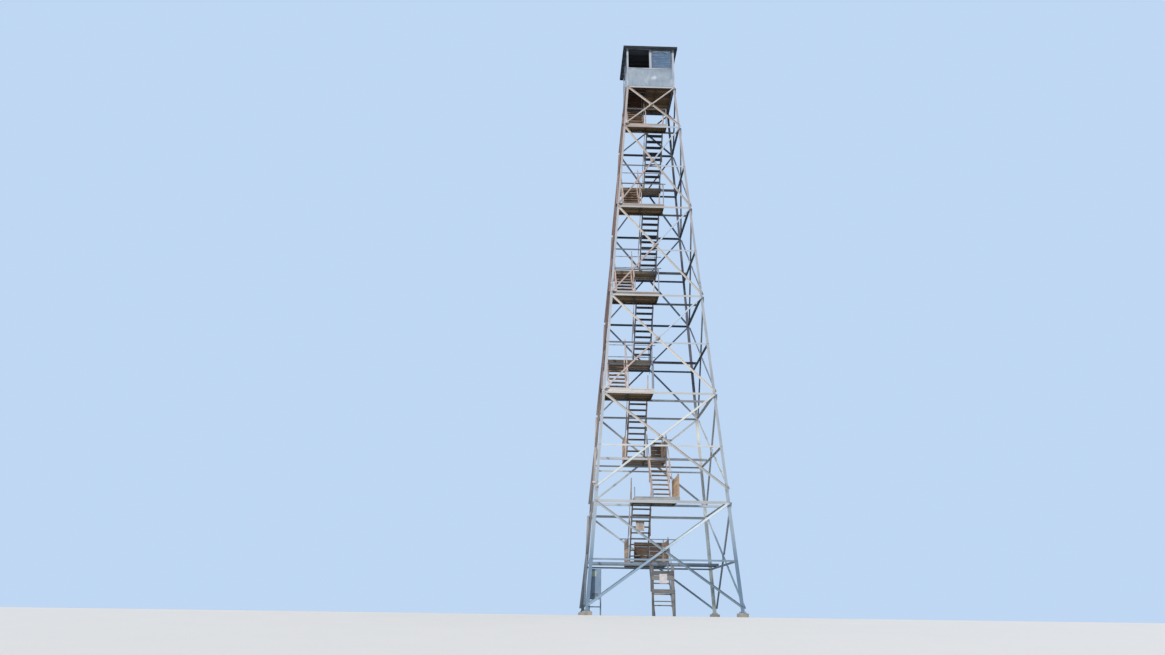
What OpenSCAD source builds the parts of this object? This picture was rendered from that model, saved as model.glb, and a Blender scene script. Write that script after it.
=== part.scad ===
// Four-legged steel lookout tower of angle iron, with timber landings, open
// stairs that climb front to rear and back, and a square sheet-metal cab.
// Millimetres, Z up, origin on the ground at the middle of the four feet.
// The front is at -Y, and +X is on the right for someone facing it.

/* [Tower] */
// Width over the legs at the ground
base_w = 5440; // [5000:10:5900]
// Width over the legs at the cab floor
top_w = 2134; // [2060:2:2300]
// Height of the first ring of sub-girts above the ground
first_level = 1880; // [1800:10:2000]
// Height from each ring of girts to the next
half_rise = 2032; // [1980:4:2080]
// Extra height of the half panel under the cab
cab_lift = 110; // [0:10:160]

/* [Legs and feet] */
// Flange of the lowest leg angles
leg_low_b = 127; // [115:1:140]
// Flange of the middle leg angles
leg_mid_b = 102; // [95:1:112]
// Flange of the top leg angles
leg_top_b = 89; // [84:1:92]
// Thickness of the leg angles
leg_t = 10; // [8:0.5:12]
// Height of a leg splice above its ring of girts
splice_up = 470; // [420:5:520]
// Length of a splice plate
splice_l = 380; // [300:10:400]
// Thickness of a splice plate
splice_t = 8; // [6:1:10]
// Side of a foot plate
foot_w = 230; // [200:5:280]
// Thickness of a foot plate
foot_t = 16; // [10:1:25]
// Side of a concrete pier
pier_w = 340; // [300:10:420]
// Height of a concrete pier
pier_h = 130; // [90:10:180]

/* [Girts and braces] */
// Flange of the main girts
girt_b = 76; // [64:1:82]
// Flange of the lowest main girts
low_girt_b = 102; // [80:1:115]
// Flange of the sub-girts
sub_b = 64; // [50:1:70]
// Thickness of girts
girt_t = 7; // [5:0.5:9]
// Flange of the braces in the two lowest panels
brace_low_b = 76; // [64:1:80]
// Flange of the braces above them
brace_b = 64; // [50:1:66]
// Thickness of the braces
brace_t = 6; // [5:0.5:8]
// Distance from a girt's top to the ends of the braces
brace_end = 75; // [70:1:90]
// Height of the lower brace ends above the feet
brace_foot = 170; // [150:5:220]
// Side of the plate where two braces cross
cross_plate = 200; // [180:5:240]
// Side of the packing where a brace crosses a sub-girt
packing_w = 56; // [40:1:60]

/* [Landings] */
// Distance from the middle of the tower to the front landings
front_edge = 620; // [580:5:680]
// Distance from the middle of the tower to the rear landings
rear_edge = 850; // [780:5:860]
// Height of beams and joists
joist_h = 89; // [75:1:100]
// Thickness of joists and rims
joist_w = 40; // [35:1:50]
// Flange of the cross beams
beam_b = 76; // [64:1:90]
// Thickness of the cross beams
beam_t = 8; // [6:0.5:10]
// Thickness of the planks
plank_t = 38; // [30:1:45]
// Aimed width of a plank
plank_w = 140; // [120:5:180]
// Gap between planks
plank_gap = 6; // [4:1:10]
// Clearance between a landing and the face of the tower
face_gap = 27; // [25:1:40]

/* [Stairs] */
// Width over the stringers of a flight
flight_w = 740; // [680:5:750]
// Risers in a flight
risers = 10; // [9:1:11]
// Depth of a stringer
stringer_b = 127; // [110:1:140]
// Flange of a stringer
stringer_flange = 44; // [35:1:50]
// Thickness of a stringer
stringer_t = 6; // [5:0.5:8]
// Depth of a tread
tread_d = 178; // [160:2:190]
// Thickness of a tread
tread_t = 38; // [30:1:45]

/* [Rails] */
// Height of a handrail above the landings
rail_h = 900; // [850:10:960]
// Height of the guard rail round a landing
guard_h = 1000; // [920:10:1100]
// Height of the guard rail on the highest landing
top_guard_h = 820; // [760:10:920]
// Reach of the rear guard rails past their landings
guard_reach = 300; // [200:10:380]
// Side of a rail post
post_w = 38; // [32:1:40]
// Diameter of a handrail
rail_d = 32; // [25:1:34]
// Side of a guard rail angle
guard_b = 38; // [30:1:44]
// Height of the board guards round the lowest landings
board_guard_h = 850; // [700:10:950]
// Thickness of the guard boards
board_t = 22; // [18:1:28]
// Width of the frame at the foot of the stairs
entrance_w = 830; // [790:10:860]
// Height of the frame at the foot of the stairs
entrance_h = 1740; // [1650:10:1780]

/* [Cab] */
// Height of the lower wall
sill_h = 930; // [880:10:1000]
// Height of the cab from its floor ring to the top of its walls
cab_h = 2010; // [1960:10:2100]
// Thickness of a cab wall
wall_t = 25; // [20:1:32]
// Flange of a corner post
corner_b = 76; // [64:1:84]
// Thickness of a corner post
corner_t = 6; // [5:0.5:8]
// Width of the post between two windows
mullion_w = 100; // [80:5:120]
// Height of the sill and head rails
cab_rail_h = 45; // [38:1:60]
// Width of a window frame's bars
sash_b = 42; // [34:1:50]
// Thickness of a window frame
sash_t = 24; // [20:1:25]
// Thickness of the glass
glass_t = 4; // [3:0.5:6]
// Reach of the eaves past the walls
eave = 150; // [120:5:200]
// Height of the eaves board
fascia_h = 115; // [90:5:140]
// Rise of the roof from its eaves to its cap
roof_rise = 400; // [350:10:480]
// Thickness of the roof
roof_t = 14; // [10:1:20]
// Length of the hatch in the cab floor
hatch_l = 1400; // [1300:10:1450]

/* [Cabinet] */
// Width of the equipment cabinet
box_w = 420; // [380:10:460]
// Depth of the equipment cabinet
box_d = 300; // [250:10:340]
// Height of the equipment cabinet
box_h = 1000; // [900:10:1100]
// Height of the stand under it
stand_h = 520; // [450:10:600]
// Side of the stand's bars
stand_b = 32; // [25:1:40]

/* [Hidden] */

galvanised = "#aeb4b2";
dull_steel = "#8f8f8b";
plank_brown = "#7d6146";
concrete_grey = "#9b9a95";
cabinet_blue = "#6f8595";

// Rings of girts are counted from 1 at the first sub-girts. Even rings carry
// the main girts and the front landings, and ring 11 carries the cab.
rings = 11;
seat_gap = 0.3;

function ring_z(k) =
    k == 0 ? 0
    : k == rings ? first_level + (k - 1) * half_rise + cab_lift
    : first_level + (k - 1) * half_rise;
cab_z = ring_z(rings);
batter = atan((base_w - top_w) / 2 / cab_z);

// Half the width over the legs at a height
function half_w(z) = base_w / 2 - z * tan(batter);
// Distance up the slope of a face to a height, and half the width there
function up_face(z) = z / cos(batter);
function half_u(v) = base_w / 2 - v * sin(batter);
// Where a level piece sits on the top flanges of a ring of girts
function seat_z(k) = ring_z(k) - leg_t * sin(batter);
deck_h = joist_h + plank_t;
function deck_z(k) = k == 0 ? 0 : seat_z(k) + deck_h;
function is_main(k) = k % 2 == 0 || k == rings;

// Face 0 is the front, then right, rear and left. Inside, X runs along the
// face, Y up its slope and Z outward, from the outer face of the legs.
module on_face(i)
    rotate([0, 0, 90 * i])
        translate([0, -base_w / 2, 0])
            rotate([90 - batter, 0, 0])
                children();

// A flat plate in a face, from one depth to another
module slab(points, from, to)
    translate([0, 0, from])
        linear_extrude(height = to - from)
            polygon(points);

// Feet

foot_z = pier_h + foot_t;
leg_v0 = up_face(foot_z) + leg_t * tan(batter);

module at_feet()
    for (i = [0:3])
        rotate([0, 0, 90 * i])
            translate([half_w(foot_z) - leg_low_b / 2, -half_w(foot_z) + leg_low_b / 2, 0])
                children();

module concrete_piers()
    color(concrete_grey)
        at_feet()
            translate([-pier_w / 2, -pier_w / 2, 0])
                cube([pier_w, pier_w, pier_h]);

module foot_plates()
    color(dull_steel)
        at_feet()
            translate([-foot_w / 2, -foot_w / 2, pier_h])
                cube([foot_w, foot_w, foot_t]);

// Legs: three lengths of angle, one above another, with splice plates

splice_v1 = up_face(ring_z(2) + splice_up);
splice_v2 = up_face(ring_z(6) + splice_up);

function leg_edge(side, v, in) = side * (half_u(v) - in);

module leg_flange(side, v0, v1, b)
    slab([[leg_edge(side, v0, 0), v0], [leg_edge(side, v0, b), v0],
          [leg_edge(side, v1, b), v1], [leg_edge(side, v1, 0), v1]], -leg_t, 0);

module splice_plate(side, v, b)
    slab([[leg_edge(side, v - splice_l / 2, leg_t + splice_t), v - splice_l / 2],
          [leg_edge(side, v - splice_l / 2, b - splice_t), v - splice_l / 2],
          [leg_edge(side, v + splice_l / 2, b - splice_t), v + splice_l / 2],
          [leg_edge(side, v + splice_l / 2, leg_t + splice_t), v + splice_l / 2]],
         -leg_t - splice_t, -leg_t);

module leg_side(side) {
    leg_flange(side, leg_v0, splice_v1, leg_low_b);
    leg_flange(side, splice_v1, splice_v2, leg_mid_b);
    leg_flange(side, splice_v2, up_face(cab_z), leg_top_b);
    splice_plate(side, splice_v1, leg_mid_b);
    splice_plate(side, splice_v2, leg_top_b);
}

// The leg between a face and the one after it
module leg(i)
    color(galvanised) {
        on_face(i) leg_side(1);
        on_face(i + 1) leg_side(-1);
    }

module front_left_leg() leg(3);
module front_right_leg() leg(0);
module rear_right_leg() leg(1);
module rear_left_leg() leg(2);

// Girts: one flange lies on the legs, the other runs inward at the top

leg_clear = 20;

function ring_b(k) = k == 2 ? low_girt_b : is_main(k) ? girt_b : sub_b;

module girt(k) {
    b = ring_b(k);
    v = up_face(ring_z(k));
    upright = half_u(v) - leg_t - leg_clear;
    level = upright - b;
    translate([-upright, v - b, -leg_t - girt_t])
        cube([2 * upright, b, girt_t]);
    translate([-level, v - girt_t, -leg_t - b])
        cube([2 * level, girt_t, b]);
}

// A flat bar under the second sub-girt of the rear face
ledger_down = 200;

module ledger() {
    v = up_face(ring_z(3)) - ledger_down;
    reach = half_u(v) - leg_t - leg_clear;
    translate([-reach, v - sub_b, -leg_t - girt_t])
        cube([2 * reach, sub_b, girt_t]);
}

module girts(i)
    color(galvanised)
        on_face(i) {
            for (k = [1:rings]) girt(k);
            if (i == 2) ledger();
        }

module front_girts() girts(0);
module right_girts() girts(1);
module rear_girts() girts(2);
module left_girts() girts(3);

// Braces: two angles cross in each panel, outside the legs. The second is cut
// where they cross, and a plate behind carries its two halves.

panels = 6;
brace_over = 16;
plate_clear = 6;

function panel_low_z(p) =
    p == 0 ? foot_z + brace_foot
    : p == 1 ? ring_z(2) + splice_up
    : ring_z(2 * p) + brace_end;
function panel_high_z(p) = (p == 5 ? cab_z : ring_z(2 * p + 2)) - brace_end;
function panel_b(p) = p < 2 ? brace_low_b : brace_b;
function leg_b_at(z) =
    z < ring_z(2) + splice_up - 1 ? leg_low_b : z < ring_z(6) + splice_up - 1 ? leg_mid_b : leg_top_b;

// The four corners of a panel, as points along and up the face
function brace_u(z) = half_u(up_face(z)) - leg_b_at(z) / 2;
function low_u(p) = brace_u(panel_low_z(p));
function high_u(p) = brace_u(panel_high_z(p));
function low_v(p) = up_face(panel_low_z(p));
function high_v(p) = up_face(panel_high_z(p));
function cross_v(p) =
    low_v(p) + (high_v(p) - low_v(p)) * low_u(p) / (low_u(p) + high_u(p));
function brace_slope(p) = atan2(high_v(p) - low_v(p), low_u(p) + high_u(p));
function brace_len(p) = norm([high_v(p) - low_v(p), low_u(p) + high_u(p)]);
function low_len(p) = brace_len(p) * low_u(p) / (low_u(p) + high_u(p));

// An angle along X, from one length to another. edge is 1 for a flange at the
// upper edge and -1 for one at the lower edge
module brace_bar(from, to, b, edge) {
    translate([from, -b / 2, 0])
        cube([to - from, b, brace_t]);
    translate([from, edge * b / 2 - (edge > 0 ? brace_t : 0), 0])
        cube([to - from, brace_t, b]);
}

module panel_braces(p) {
    b = panel_b(p);
    a = brace_slope(p);
    turn = abs(sin(2 * a));
    gap = (b / 2 * (1 + abs(cos(2 * a))) + plate_clear) / turn;
    low = low_len(p);
    high = brace_len(p) - low;
    translate([0, cross_v(p), 0]) {
        rotate([0, 0, a])
            brace_bar(-low - brace_over, high + brace_over, b, -1);
        rotate([0, 0, 180 - a]) {
            brace_bar(-low - brace_over, -gap, b, -1);
            brace_bar(gap, high + brace_over, b, -1);
        }
    }
}

module braces(i)
    color(galvanised)
        for (p = [0:panels - 1])
            on_face(i) panel_braces(p);

module front_braces() braces(0);
module right_braces() braces(1);
module rear_braces() braces(2);
module left_braces() braces(3);

// Plates behind each crossing, and packings where a brace crosses a sub-girt

module brace_plates()
    color(dull_steel)
        for (i = [0:3])
            on_face(i) {
                for (p = [0:panels - 1])
                    translate([-cross_plate / 2, cross_v(p) - cross_plate / 2, -leg_t])
                        cube([cross_plate, cross_plate, leg_t]);
                for (p = [0:panels - 2])
                    for (side = [-1, 1])
                        packing(p, side);
            }

module packing(p, side) {
    v = up_face(ring_z(2 * p + 1)) - sub_b / 2;
    u = side * (cross_v(p) - v) / tan(brace_slope(p));
    if (abs(u) > (cross_plate + packing_w) / 2 + plate_clear)
        translate([u - packing_w / 2, v - packing_w / 2, -leg_t])
            cube([packing_w, packing_w, leg_t]);
}

// Stairs: odd flights climb to the rear, even flights climb to the front.
// Each even flight lands beside the start of the next, on the front landing.

function goes_back(n) = n % 2 == 1;
// Left edge of the flights that climb to the rear. The two lowest are near the
// middle, the others stand inside the left legs.
low_lane = -0.0276;
leg_to_lane = 320;
cab_to_lane = leg_t + girt_b + 16;
function back_lane(n) =
    n <= 3 ? low_lane * base_w
    : n < rings ? leg_to_lane - half_w(deck_z(n - 1))
    : cab_to_lane - half_w(cab_z);
// Two flights side by side have one line of posts between them
rail_out = post_w / 2 + seat_gap;
lane_pitch = flight_w + 2 * rail_out;
function lane_x(n) =
    goes_back(n) ? back_lane(n)
    : n == 2 ? back_lane(3) - lane_pitch
    : back_lane(n + 1) + lane_pitch;

run = front_edge + rear_edge;
function foot_y(n) = goes_back(n) ? -front_edge : rear_edge;
function stair_dir(n) = goes_back(n) ? 1 : -1;
function flight_low(n) = deck_z(n - 1);
function flight_rise(n) = deck_z(n) - flight_low(n);

// The middle line of a stringer climbs from the lower deck at the foot to
// under the upper deck, so that its upper edge ends level with that deck.
function stair_angle(n) =
    let (guess = atan(flight_rise(n) / run))
    atan((flight_rise(n) - stringer_b / 2 / cos(guess)) / run);
function stair_tan(n) = tan(stair_angle(n));

module stringer_web(n) {
    over_y = stringer_b / 2 / sin(stair_angle(n));
    over_z = stringer_b / 2 / cos(stair_angle(n));
    top = run * stair_tan(n);
    linear_extrude(height = stringer_t)
        polygon([[-over_y, 0], [over_y, 0],
                 [run - seat_gap, top - over_z], [run - seat_gap, top + over_z]]);
}

module stringer_flanges(n) {
    over_y = stringer_b / 2 / sin(stair_angle(n));
    over_z = stringer_b / 2 / cos(stair_angle(n));
    top = run * stair_tan(n);
    flange_y = stringer_t / sin(stair_angle(n));
    flange_z = stringer_t / cos(stair_angle(n));
    linear_extrude(height = stringer_flange) {
        polygon([[over_y - flange_y, 0], [over_y, 0],
                 [run - seat_gap, top - over_z], [run - seat_gap, top - over_z + flange_z]]);
        polygon([[-over_y, 0], [flange_y - over_y, 0],
                 [run - seat_gap, top + over_z - flange_z], [run - seat_gap, top + over_z]]);
    }
}

// A channel with its web towards the treads, drawn at the origin
module stringer(n) {
    stringer_web(n);
    translate([0, 0, stringer_t - stringer_flange])
        stringer_flanges(n);
}

module stringers(n) {
    in = stringer_flange - stringer_t;
    for (side = [0, 1])
        translate([lane_x(n) + (side == 0 ? in : flight_w - in), foot_y(n), flight_low(n)])
            mirror([side, 0, 0])
                mirror([0, goes_back(n) ? 0 : 1, 0])
                    rotate([90, 0, 90])
                        stringer(n);
}

module tread(n, j) {
    z = j * flight_rise(n) / risers;
    y = foot_y(n) + stair_dir(n) * z / stair_tan(n);
    in = stringer_flange + seat_gap;
    translate([lane_x(n) + in, y - tread_d / 2, flight_low(n) + z - tread_t])
        cube([flight_w - 2 * in, tread_d, tread_t]);
}

// On the lowest flight only every second tread is left
function has_tread(n, j) = n > 1 || j % 2 == 0;

module flight(n) {
    color(galvanised) stringers(n);
    color(plank_brown)
        for (j = [1:risers - 1])
            if (has_tread(n, j))
                tread(n, j);
}

module stair_flight_1() flight(1);
module stair_flight_2() flight(2);
module stair_flight_3() flight(3);
module stair_flight_4() flight(4);
module stair_flight_5() flight(5);
module stair_flight_6() flight(6);
module stair_flight_7() flight(7);
module stair_flight_8() flight(8);
module stair_flight_9() flight(9);
module stair_flight_10() flight(10);
module stair_flight_11() flight(11);

// Landings: even rings at the front, odd rings at the rear

front_over = 110;
rear_over = 60;

function at_front(k) = k % 2 == 0;
function landing_over(k) = at_front(k) && k > 2 ? front_over : rear_over;
function face_y(k) = half_w(deck_z(k)) - face_gap;
function landing_left(k) =
    k > 3 ? -face_y(k)
    : min(lane_x(k), lane_x(k + 1)) - landing_over(k);
function landing_right(k) = max(lane_x(k), lane_x(k + 1)) + flight_w + landing_over(k);
function landing_w(k) = landing_right(k) - landing_left(k);
function inner_edge(k) = at_front(k) ? front_edge : rear_edge;
function landing_d(k) = face_y(k) - inner_edge(k);

// Places a child at the middle of the tower with Y towards the landing's face
module toward_landing(k)
    if (at_front(k)) mirror([0, 1, 0]) children();
    else children();

module landing_deck(k) {
    rows = round((landing_d(k) + plank_gap) / (plank_w + plank_gap));
    pitch = (landing_d(k) + plank_gap) / rows;
    toward_landing(k)
        for (row = [0:rows - 1])
            translate([landing_left(k), inner_edge(k) + row * pitch, seat_z(k) + joist_h])
                cube([landing_w(k), pitch - plank_gap, plank_t]);
}

module front_landings()
    color(plank_brown)
        for (k = [2:2:10]) landing_deck(k);

module rear_landings()
    color(plank_brown)
        for (k = [1:2:9]) landing_deck(k);

// Cross beams: angles from the left girts to the right girts at each ring
function beam_end(k) = half_w(ring_z(k)) - leg_t - leg_clear;

module cross_beam(k)
    toward_landing(k)
        translate([-beam_end(k), inner_edge(k), seat_z(k)]) {
            cube([2 * beam_end(k), beam_t, joist_h]);
            cube([2 * beam_end(k), beam_b, beam_t]);
        }

module cross_beams()
    color(galvanised)
        for (k = [1:rings - 1]) cross_beam(k);

module landing_frame(k) {
    start = inner_edge(k) + beam_t + seat_gap;
    rim = face_y(k) - joist_w;
    toward_landing(k) {
        translate([landing_left(k), rim, seat_z(k)])
            cube([landing_w(k), joist_w, joist_h]);
        for (share = [0, 0.5, 1])
            translate([landing_left(k) + share * (landing_w(k) - joist_w), start, seat_z(k) + beam_t])
                cube([joist_w, rim - seat_gap - start, joist_h - beam_t]);
    }
}

// A bearer under the lowest cross beam, between the side girts
bearer_h = 45;

module bearer() {
    reach = beam_end(1) - sub_b - leg_clear;
    translate([-reach, rear_edge, seat_z(1) - bearer_h])
        cube([2 * reach, joist_w, bearer_h - seat_gap]);
}

module landing_joists()
    color(plank_brown) {
        for (k = [1:rings - 1]) landing_frame(k);
        bearer();
    }

// Handrails: a post on each deck, one on the stringer, and a rail between

post_back = 45;

module stair_rail(n, x) {
    low_y = foot_y(n) - stair_dir(n) * post_back;
    high_y = foot_y(n) + stair_dir(n) * (run + post_back);
    low_z = flight_low(n) + rail_h;
    high_z = deck_z(n) + rail_h;
    a = atan2(high_z - low_z, abs(high_y - low_y));
    mid_y = (low_y + high_y) / 2;
    mid_z = (low_z + high_z) / 2 - rail_d / 2 / cos(a) - seat_gap;
    clear = (post_w / 2 + rail_d / 2 * sin(a) + seat_gap) / cos(a);
    length = norm([high_y - low_y, high_z - low_z]) - 2 * clear;
    translate([x, low_y, low_z])
        rotate([stair_dir(n) * a, 0, 0])
            translate([0, stair_dir(n) * clear, 0])
                rotate([-stair_dir(n) * 90, 0, 0])
                    cylinder(d = rail_d, h = length, $fn = 8);
    post_foot = flight_low(n) + flight_rise(n) / 2 - stringer_b;
    translate([x - post_w / 2, mid_y - post_w / 2, post_foot])
        cube([post_w, post_w, mid_z - post_w / 2 * tan(a) - post_foot]);
}

module newel(k, x, at_rear)
    translate([x - post_w / 2,
               (at_rear ? rear_edge + post_back : -front_edge - post_back) - post_w / 2, deck_z(k)])
        cube([post_w, post_w, rail_h + rail_d]);

// The top flight has no rail on the left, where the frame is beside it
module flight_rails(n)
    for (x = n < rings ? [lane_x(n) - rail_out, lane_x(n) + flight_w + rail_out]
                       : [lane_x(n) + flight_w + rail_out]) {
        stair_rail(n, x);
        newel(n - 1, x, !goes_back(n));
        newel(n, x, goes_back(n));
    }

module stair_handrails()
    color(galvanised)
        for (n = [1:rings]) flight_rails(n);

// Guards: rails along the outer edge of each landing and round its right end

guard_t = 5;

// An angle along X, with its flanges at the front and at the top
module guard_angle(length) {
    translate([0, 0, guard_b - guard_t])
        cube([length, guard_b, guard_t]);
    cube([length, guard_t, guard_b]);
}

function guard_top(k) = k == rings - 1 ? top_guard_h : guard_h;
function guard_y(k) = half_w(deck_z(k) + guard_top(k)) - leg_t - leg_clear;
function guard_left(k) = -half_w(deck_z(k) + guard_top(k)) + leg_t + leg_clear;

module guard_post(k, x)
    translate([x, guard_y(k) - guard_b, deck_z(k)])
        cube([post_w, guard_b, guard_top(k)]);

module landing_guard(k) {
    post_x = landing_right(k) - post_w;
    left = guard_left(k);
    reach = at_front(k) ? -seat_gap : guard_reach;
    side_y = inner_edge(k) + 2 * post_back;
    toward_landing(k) {
        guard_post(k, post_x);
        for (share = at_front(k) ? [1] : [0.46, 1]) {
            top = deck_z(k) + share * guard_top(k) - guard_b;
            translate([left, guard_y(k) + seat_gap - (at_front(k) ? guard_b : 0), top])
                guard_angle(post_x - left + reach);
            translate([post_x, side_y, top])
                cube([guard_t, guard_y(k) - guard_b - seat_gap - side_y, guard_b]);
        }
    }
}

// The lowest rear landing has one long rail across the face
module long_rail(k) {
    reach = half_w(deck_z(k)) / 2 - leg_b_at(0);
    toward_landing(k) {
        for (x = [landing_left(k) + board_t + seat_gap, landing_right(k) - post_w - board_t - seat_gap])
            guard_post(k, x);
        translate([-reach, guard_y(k) + seat_gap, deck_z(k) + guard_top(k) - guard_b])
            guard_angle(2 * reach);
    }
}

// Short posts left on the lowest front landing
module stub_posts()
    toward_landing(2)
        for (stub = [[landing_left(2), 350], [landing_left(2) + flight_w - 2 * post_w, 300]])
            translate([stub[0], guard_y(2) - guard_b, deck_z(2)])
                cube([post_w, guard_b, stub[1]]);

// A tall post at the right end of the second front landing, up to the girt above
module tall_post() {
    top = ring_z(5) - (leg_t + sub_b) * sin(batter) - girt_t - seat_gap;
    y = half_w(top) - leg_t - girt_t - leg_clear - post_w;
    toward_landing(4)
        translate([landing_right(4) - 2 * post_w - seat_gap, y, deck_z(4)])
            cube([post_w, post_w, top - deck_z(4)]);
}

module guard_rails()
    color(galvanised) {
        for (k = [4:rings - 1]) landing_guard(k);
        long_rail(1);
        long_rail(3);
        stub_posts();
        tall_post();
    }

// Board guards round the lowest three landings: level boards on battens

board_rows = 5;
board_gap = 8;
board_pitch = (board_guard_h + board_gap) / board_rows;

module board_stack(w, d)
    for (row = [0:board_rows - 1])
        translate([0, 0, row * board_pitch])
            cube([w, d, board_pitch - board_gap]);

// Boards along Y with two battens on the side towards the landing
module side_boards(k, x, inward) {
    y = inner_edge(k) + 2 * post_back;
    length = guard_y(k) - guard_b - seat_gap - y;
    toward_landing(k)
        translate([x, y, deck_z(k)]) {
            board_stack(board_t, length);
            for (end = [0, length - post_w])
                translate([inward > 0 ? board_t + seat_gap : -post_w - seat_gap, end, 0])
                    cube([post_w, post_w, board_guard_h]);
        }
}

// Boards along X, behind the guard posts of the rear face
module face_boards(k, from, to)
    toward_landing(k)
        translate([from, guard_y(k) - guard_b - board_t - seat_gap, deck_z(k)]) {
            board_stack(to - from, board_t);
            for (end = [0, to - from - post_w])
                translate([end, -post_w - seat_gap, 0])
                    cube([post_w, post_w, board_guard_h]);
        }

module guard_boards()
    color(plank_brown) {
        for (k = [1, 3]) {
            side_boards(k, landing_left(k), 1);
            side_boards(k, landing_right(k) - board_t, -1);
        }
        side_boards(2, landing_right(2) - board_t, -1);
        face_boards(1, landing_left(1) + lane_pitch / 2, landing_right(1) - 2 * post_w);
        face_boards(3, landing_right(3) - lane_pitch * 0.7, landing_right(3) - 2 * post_w);
    }

// Frame at the foot of the stairs: two posts, a board panel and low boards

entrance_x = lane_x(1) + flight_w / 2 - entrance_w / 2 - 40;
entrance_y = -front_edge - stringer_b / 2 / sin(stair_angle(1)) - seat_gap;
entrance_b = 80;
entrance_d = 60;
panel_z = 1250;
panel_h = 330;
low_board_z = 790;
low_board_h = 150;
low_step_z = 500;

module entrance_board(z, h)
    translate([entrance_x, entrance_y - entrance_d - board_t - seat_gap, z])
        cube([entrance_w, board_t, h]);

module entrance_frame()
    color(plank_brown) {
        for (x = [entrance_x, entrance_x + entrance_w - entrance_b])
            translate([x, entrance_y - entrance_d, 0])
                cube([entrance_b, entrance_d, entrance_h]);
        for (half = [0, 1])
            entrance_board(panel_z + half * (panel_h + board_gap) / 2, (panel_h - board_gap) / 2);
        entrance_board(low_board_z, low_board_h);
        translate([entrance_x + entrance_b + seat_gap, entrance_y - entrance_d, low_step_z])
            cube([entrance_w - 2 * entrance_b - 2 * seat_gap, entrance_d, tread_t]);
    }

// Cab floor

hatch_clear = 10;
cab_out = top_w / 2;
wall_out = cab_out - corner_t;
wall_in = wall_out - wall_t;
floor_half = wall_in - seat_gap;
hatch_left = lane_x(rings) - hatch_clear;
hatch_right = lane_x(rings) + lane_pitch + hatch_clear;
hatch_back = rear_edge;
hatch_front = hatch_back - hatch_l;

mid_joist = hatch_right + 0.37 * (floor_half - hatch_right);

module floor_joists() {
    for (x = [hatch_right, mid_joist, floor_half - joist_w])
        translate([x, -floor_half, seat_z(rings)])
            cube([joist_w, 2 * floor_half, joist_h - seat_gap]);
    for (y = [hatch_back + seat_gap, hatch_front - seat_gap - joist_w])
        translate([-floor_half, y, seat_z(rings)])
            cube([hatch_right - seat_gap + floor_half, joist_w, joist_h - seat_gap]);
}

module cab_floor()
    color(plank_brown) {
        floor_joists();
        difference() {
            translate([-floor_half, -floor_half, seat_z(rings) + joist_h])
                cube([2 * floor_half, 2 * floor_half, plank_t]);
            translate([hatch_left, hatch_front, seat_z(rings)])
                cube([hatch_right - hatch_left, hatch_l, deck_h + joist_h]);
        }
    }

// Cab walls and windows

sill_z = cab_z + sill_h;
head_z = cab_z + cab_h - cab_rail_h;
window_z = sill_z + cab_rail_h;
mullion_top = head_z - seat_gap;

module corner_post()
    translate([cab_out, -cab_out, cab_z])
        rotate([0, 0, 90])
            linear_extrude(height = cab_h)
                polygon([[0, 0], [corner_b, 0], [corner_b, corner_t], [corner_t, corner_t],
                         [corner_t, corner_b], [0, corner_b]]);

module cab_posts()
    color(galvanised)
        for (i = [0:3])
            rotate([0, 0, 90 * i]) {
                corner_post();
                translate([-mullion_w / 2, -wall_out, window_z + seat_gap])
                    cube([mullion_w, wall_t, mullion_top - window_z - seat_gap]);
            }

// A lower wall with its sill rail above it and the head rail under the roof
module cab_wall(half) {
    translate([-half, -wall_out, cab_z])
        cube([2 * half, wall_t, sill_h]);
    translate([-half, -wall_out, sill_z])
        cube([2 * half, wall_t, cab_rail_h]);
    translate([-half, -wall_out, head_z])
        cube([2 * half, wall_t, cab_rail_h]);
}

module cab_front_wall() color(galvanised) cab_wall(wall_out);
module cab_rear_wall() color(galvanised) rotate([0, 0, 180]) cab_wall(wall_out);
module cab_side_walls()
    color(galvanised)
        for (side = [90, 270])
            rotate([0, 0, side]) cab_wall(wall_in - seat_gap);

// Each side has two windows. The left one at the front has lost its frame.
light_l = mullion_w / 2 + seat_gap;
light_r = wall_in - corner_b + corner_t - seat_gap;

module each_window()
    for (i = [0:3])
        for (side = [-1, 1])
            if (i > 0 || side > 0)
                rotate([0, 0, 90 * i])
                    mirror([side > 0 ? 0 : 1, 0, 0])
                        children();

window_w = light_r - light_l;
window_h = mullion_top - window_z - seat_gap;

module window_frames()
    color(galvanised)
        each_window()
            translate([light_l, -wall_out, window_z + seat_gap])
                difference() {
                    cube([window_w, sash_t, window_h]);
                    translate([sash_b, -1, sash_b])
                        cube([window_w - 2 * sash_b, sash_t + 2, window_h - 2 * sash_b]);
                }

module window_glass()
    color("#b8ccd8")
        each_window()
            translate([light_l + sash_b + seat_gap, -wall_out + sash_t / 2,
                       window_z + sash_b + 2 * seat_gap])
                cube([window_w - 2 * sash_b - 2 * seat_gap, glass_t,
                      window_h - 2 * sash_b - 2 * seat_gap]);

// Roof: a low pyramid of sheet metal on a flat ceiling, with an eaves board

roof_half = cab_out + eave;
cap_half = 60;
ceiling_t = 19;
roof_low = cab_z + cab_h + ceiling_t + seat_gap + roof_t - fascia_h;
soffit_half = roof_half - roof_t - seat_gap;

module roof_form(in, down)
    hull() {
        translate([-roof_half + in, -roof_half + in, roof_low])
            cube([2 * (roof_half - in), 2 * (roof_half - in), fascia_h - down]);
        translate([-cap_half, -cap_half, roof_low])
            cube([2 * cap_half, 2 * cap_half, fascia_h + roof_rise - down]);
    }

module cab_roof()
    color(dull_steel)
        difference() {
            roof_form(0, 0);
            translate([0, 0, -seat_gap]) roof_form(roof_t, roof_t);
        }

module cab_ceiling()
    color(plank_brown)
        translate([-soffit_half, -soffit_half, cab_z + cab_h])
            cube([2 * soffit_half, 2 * soffit_half, ceiling_t]);

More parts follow.
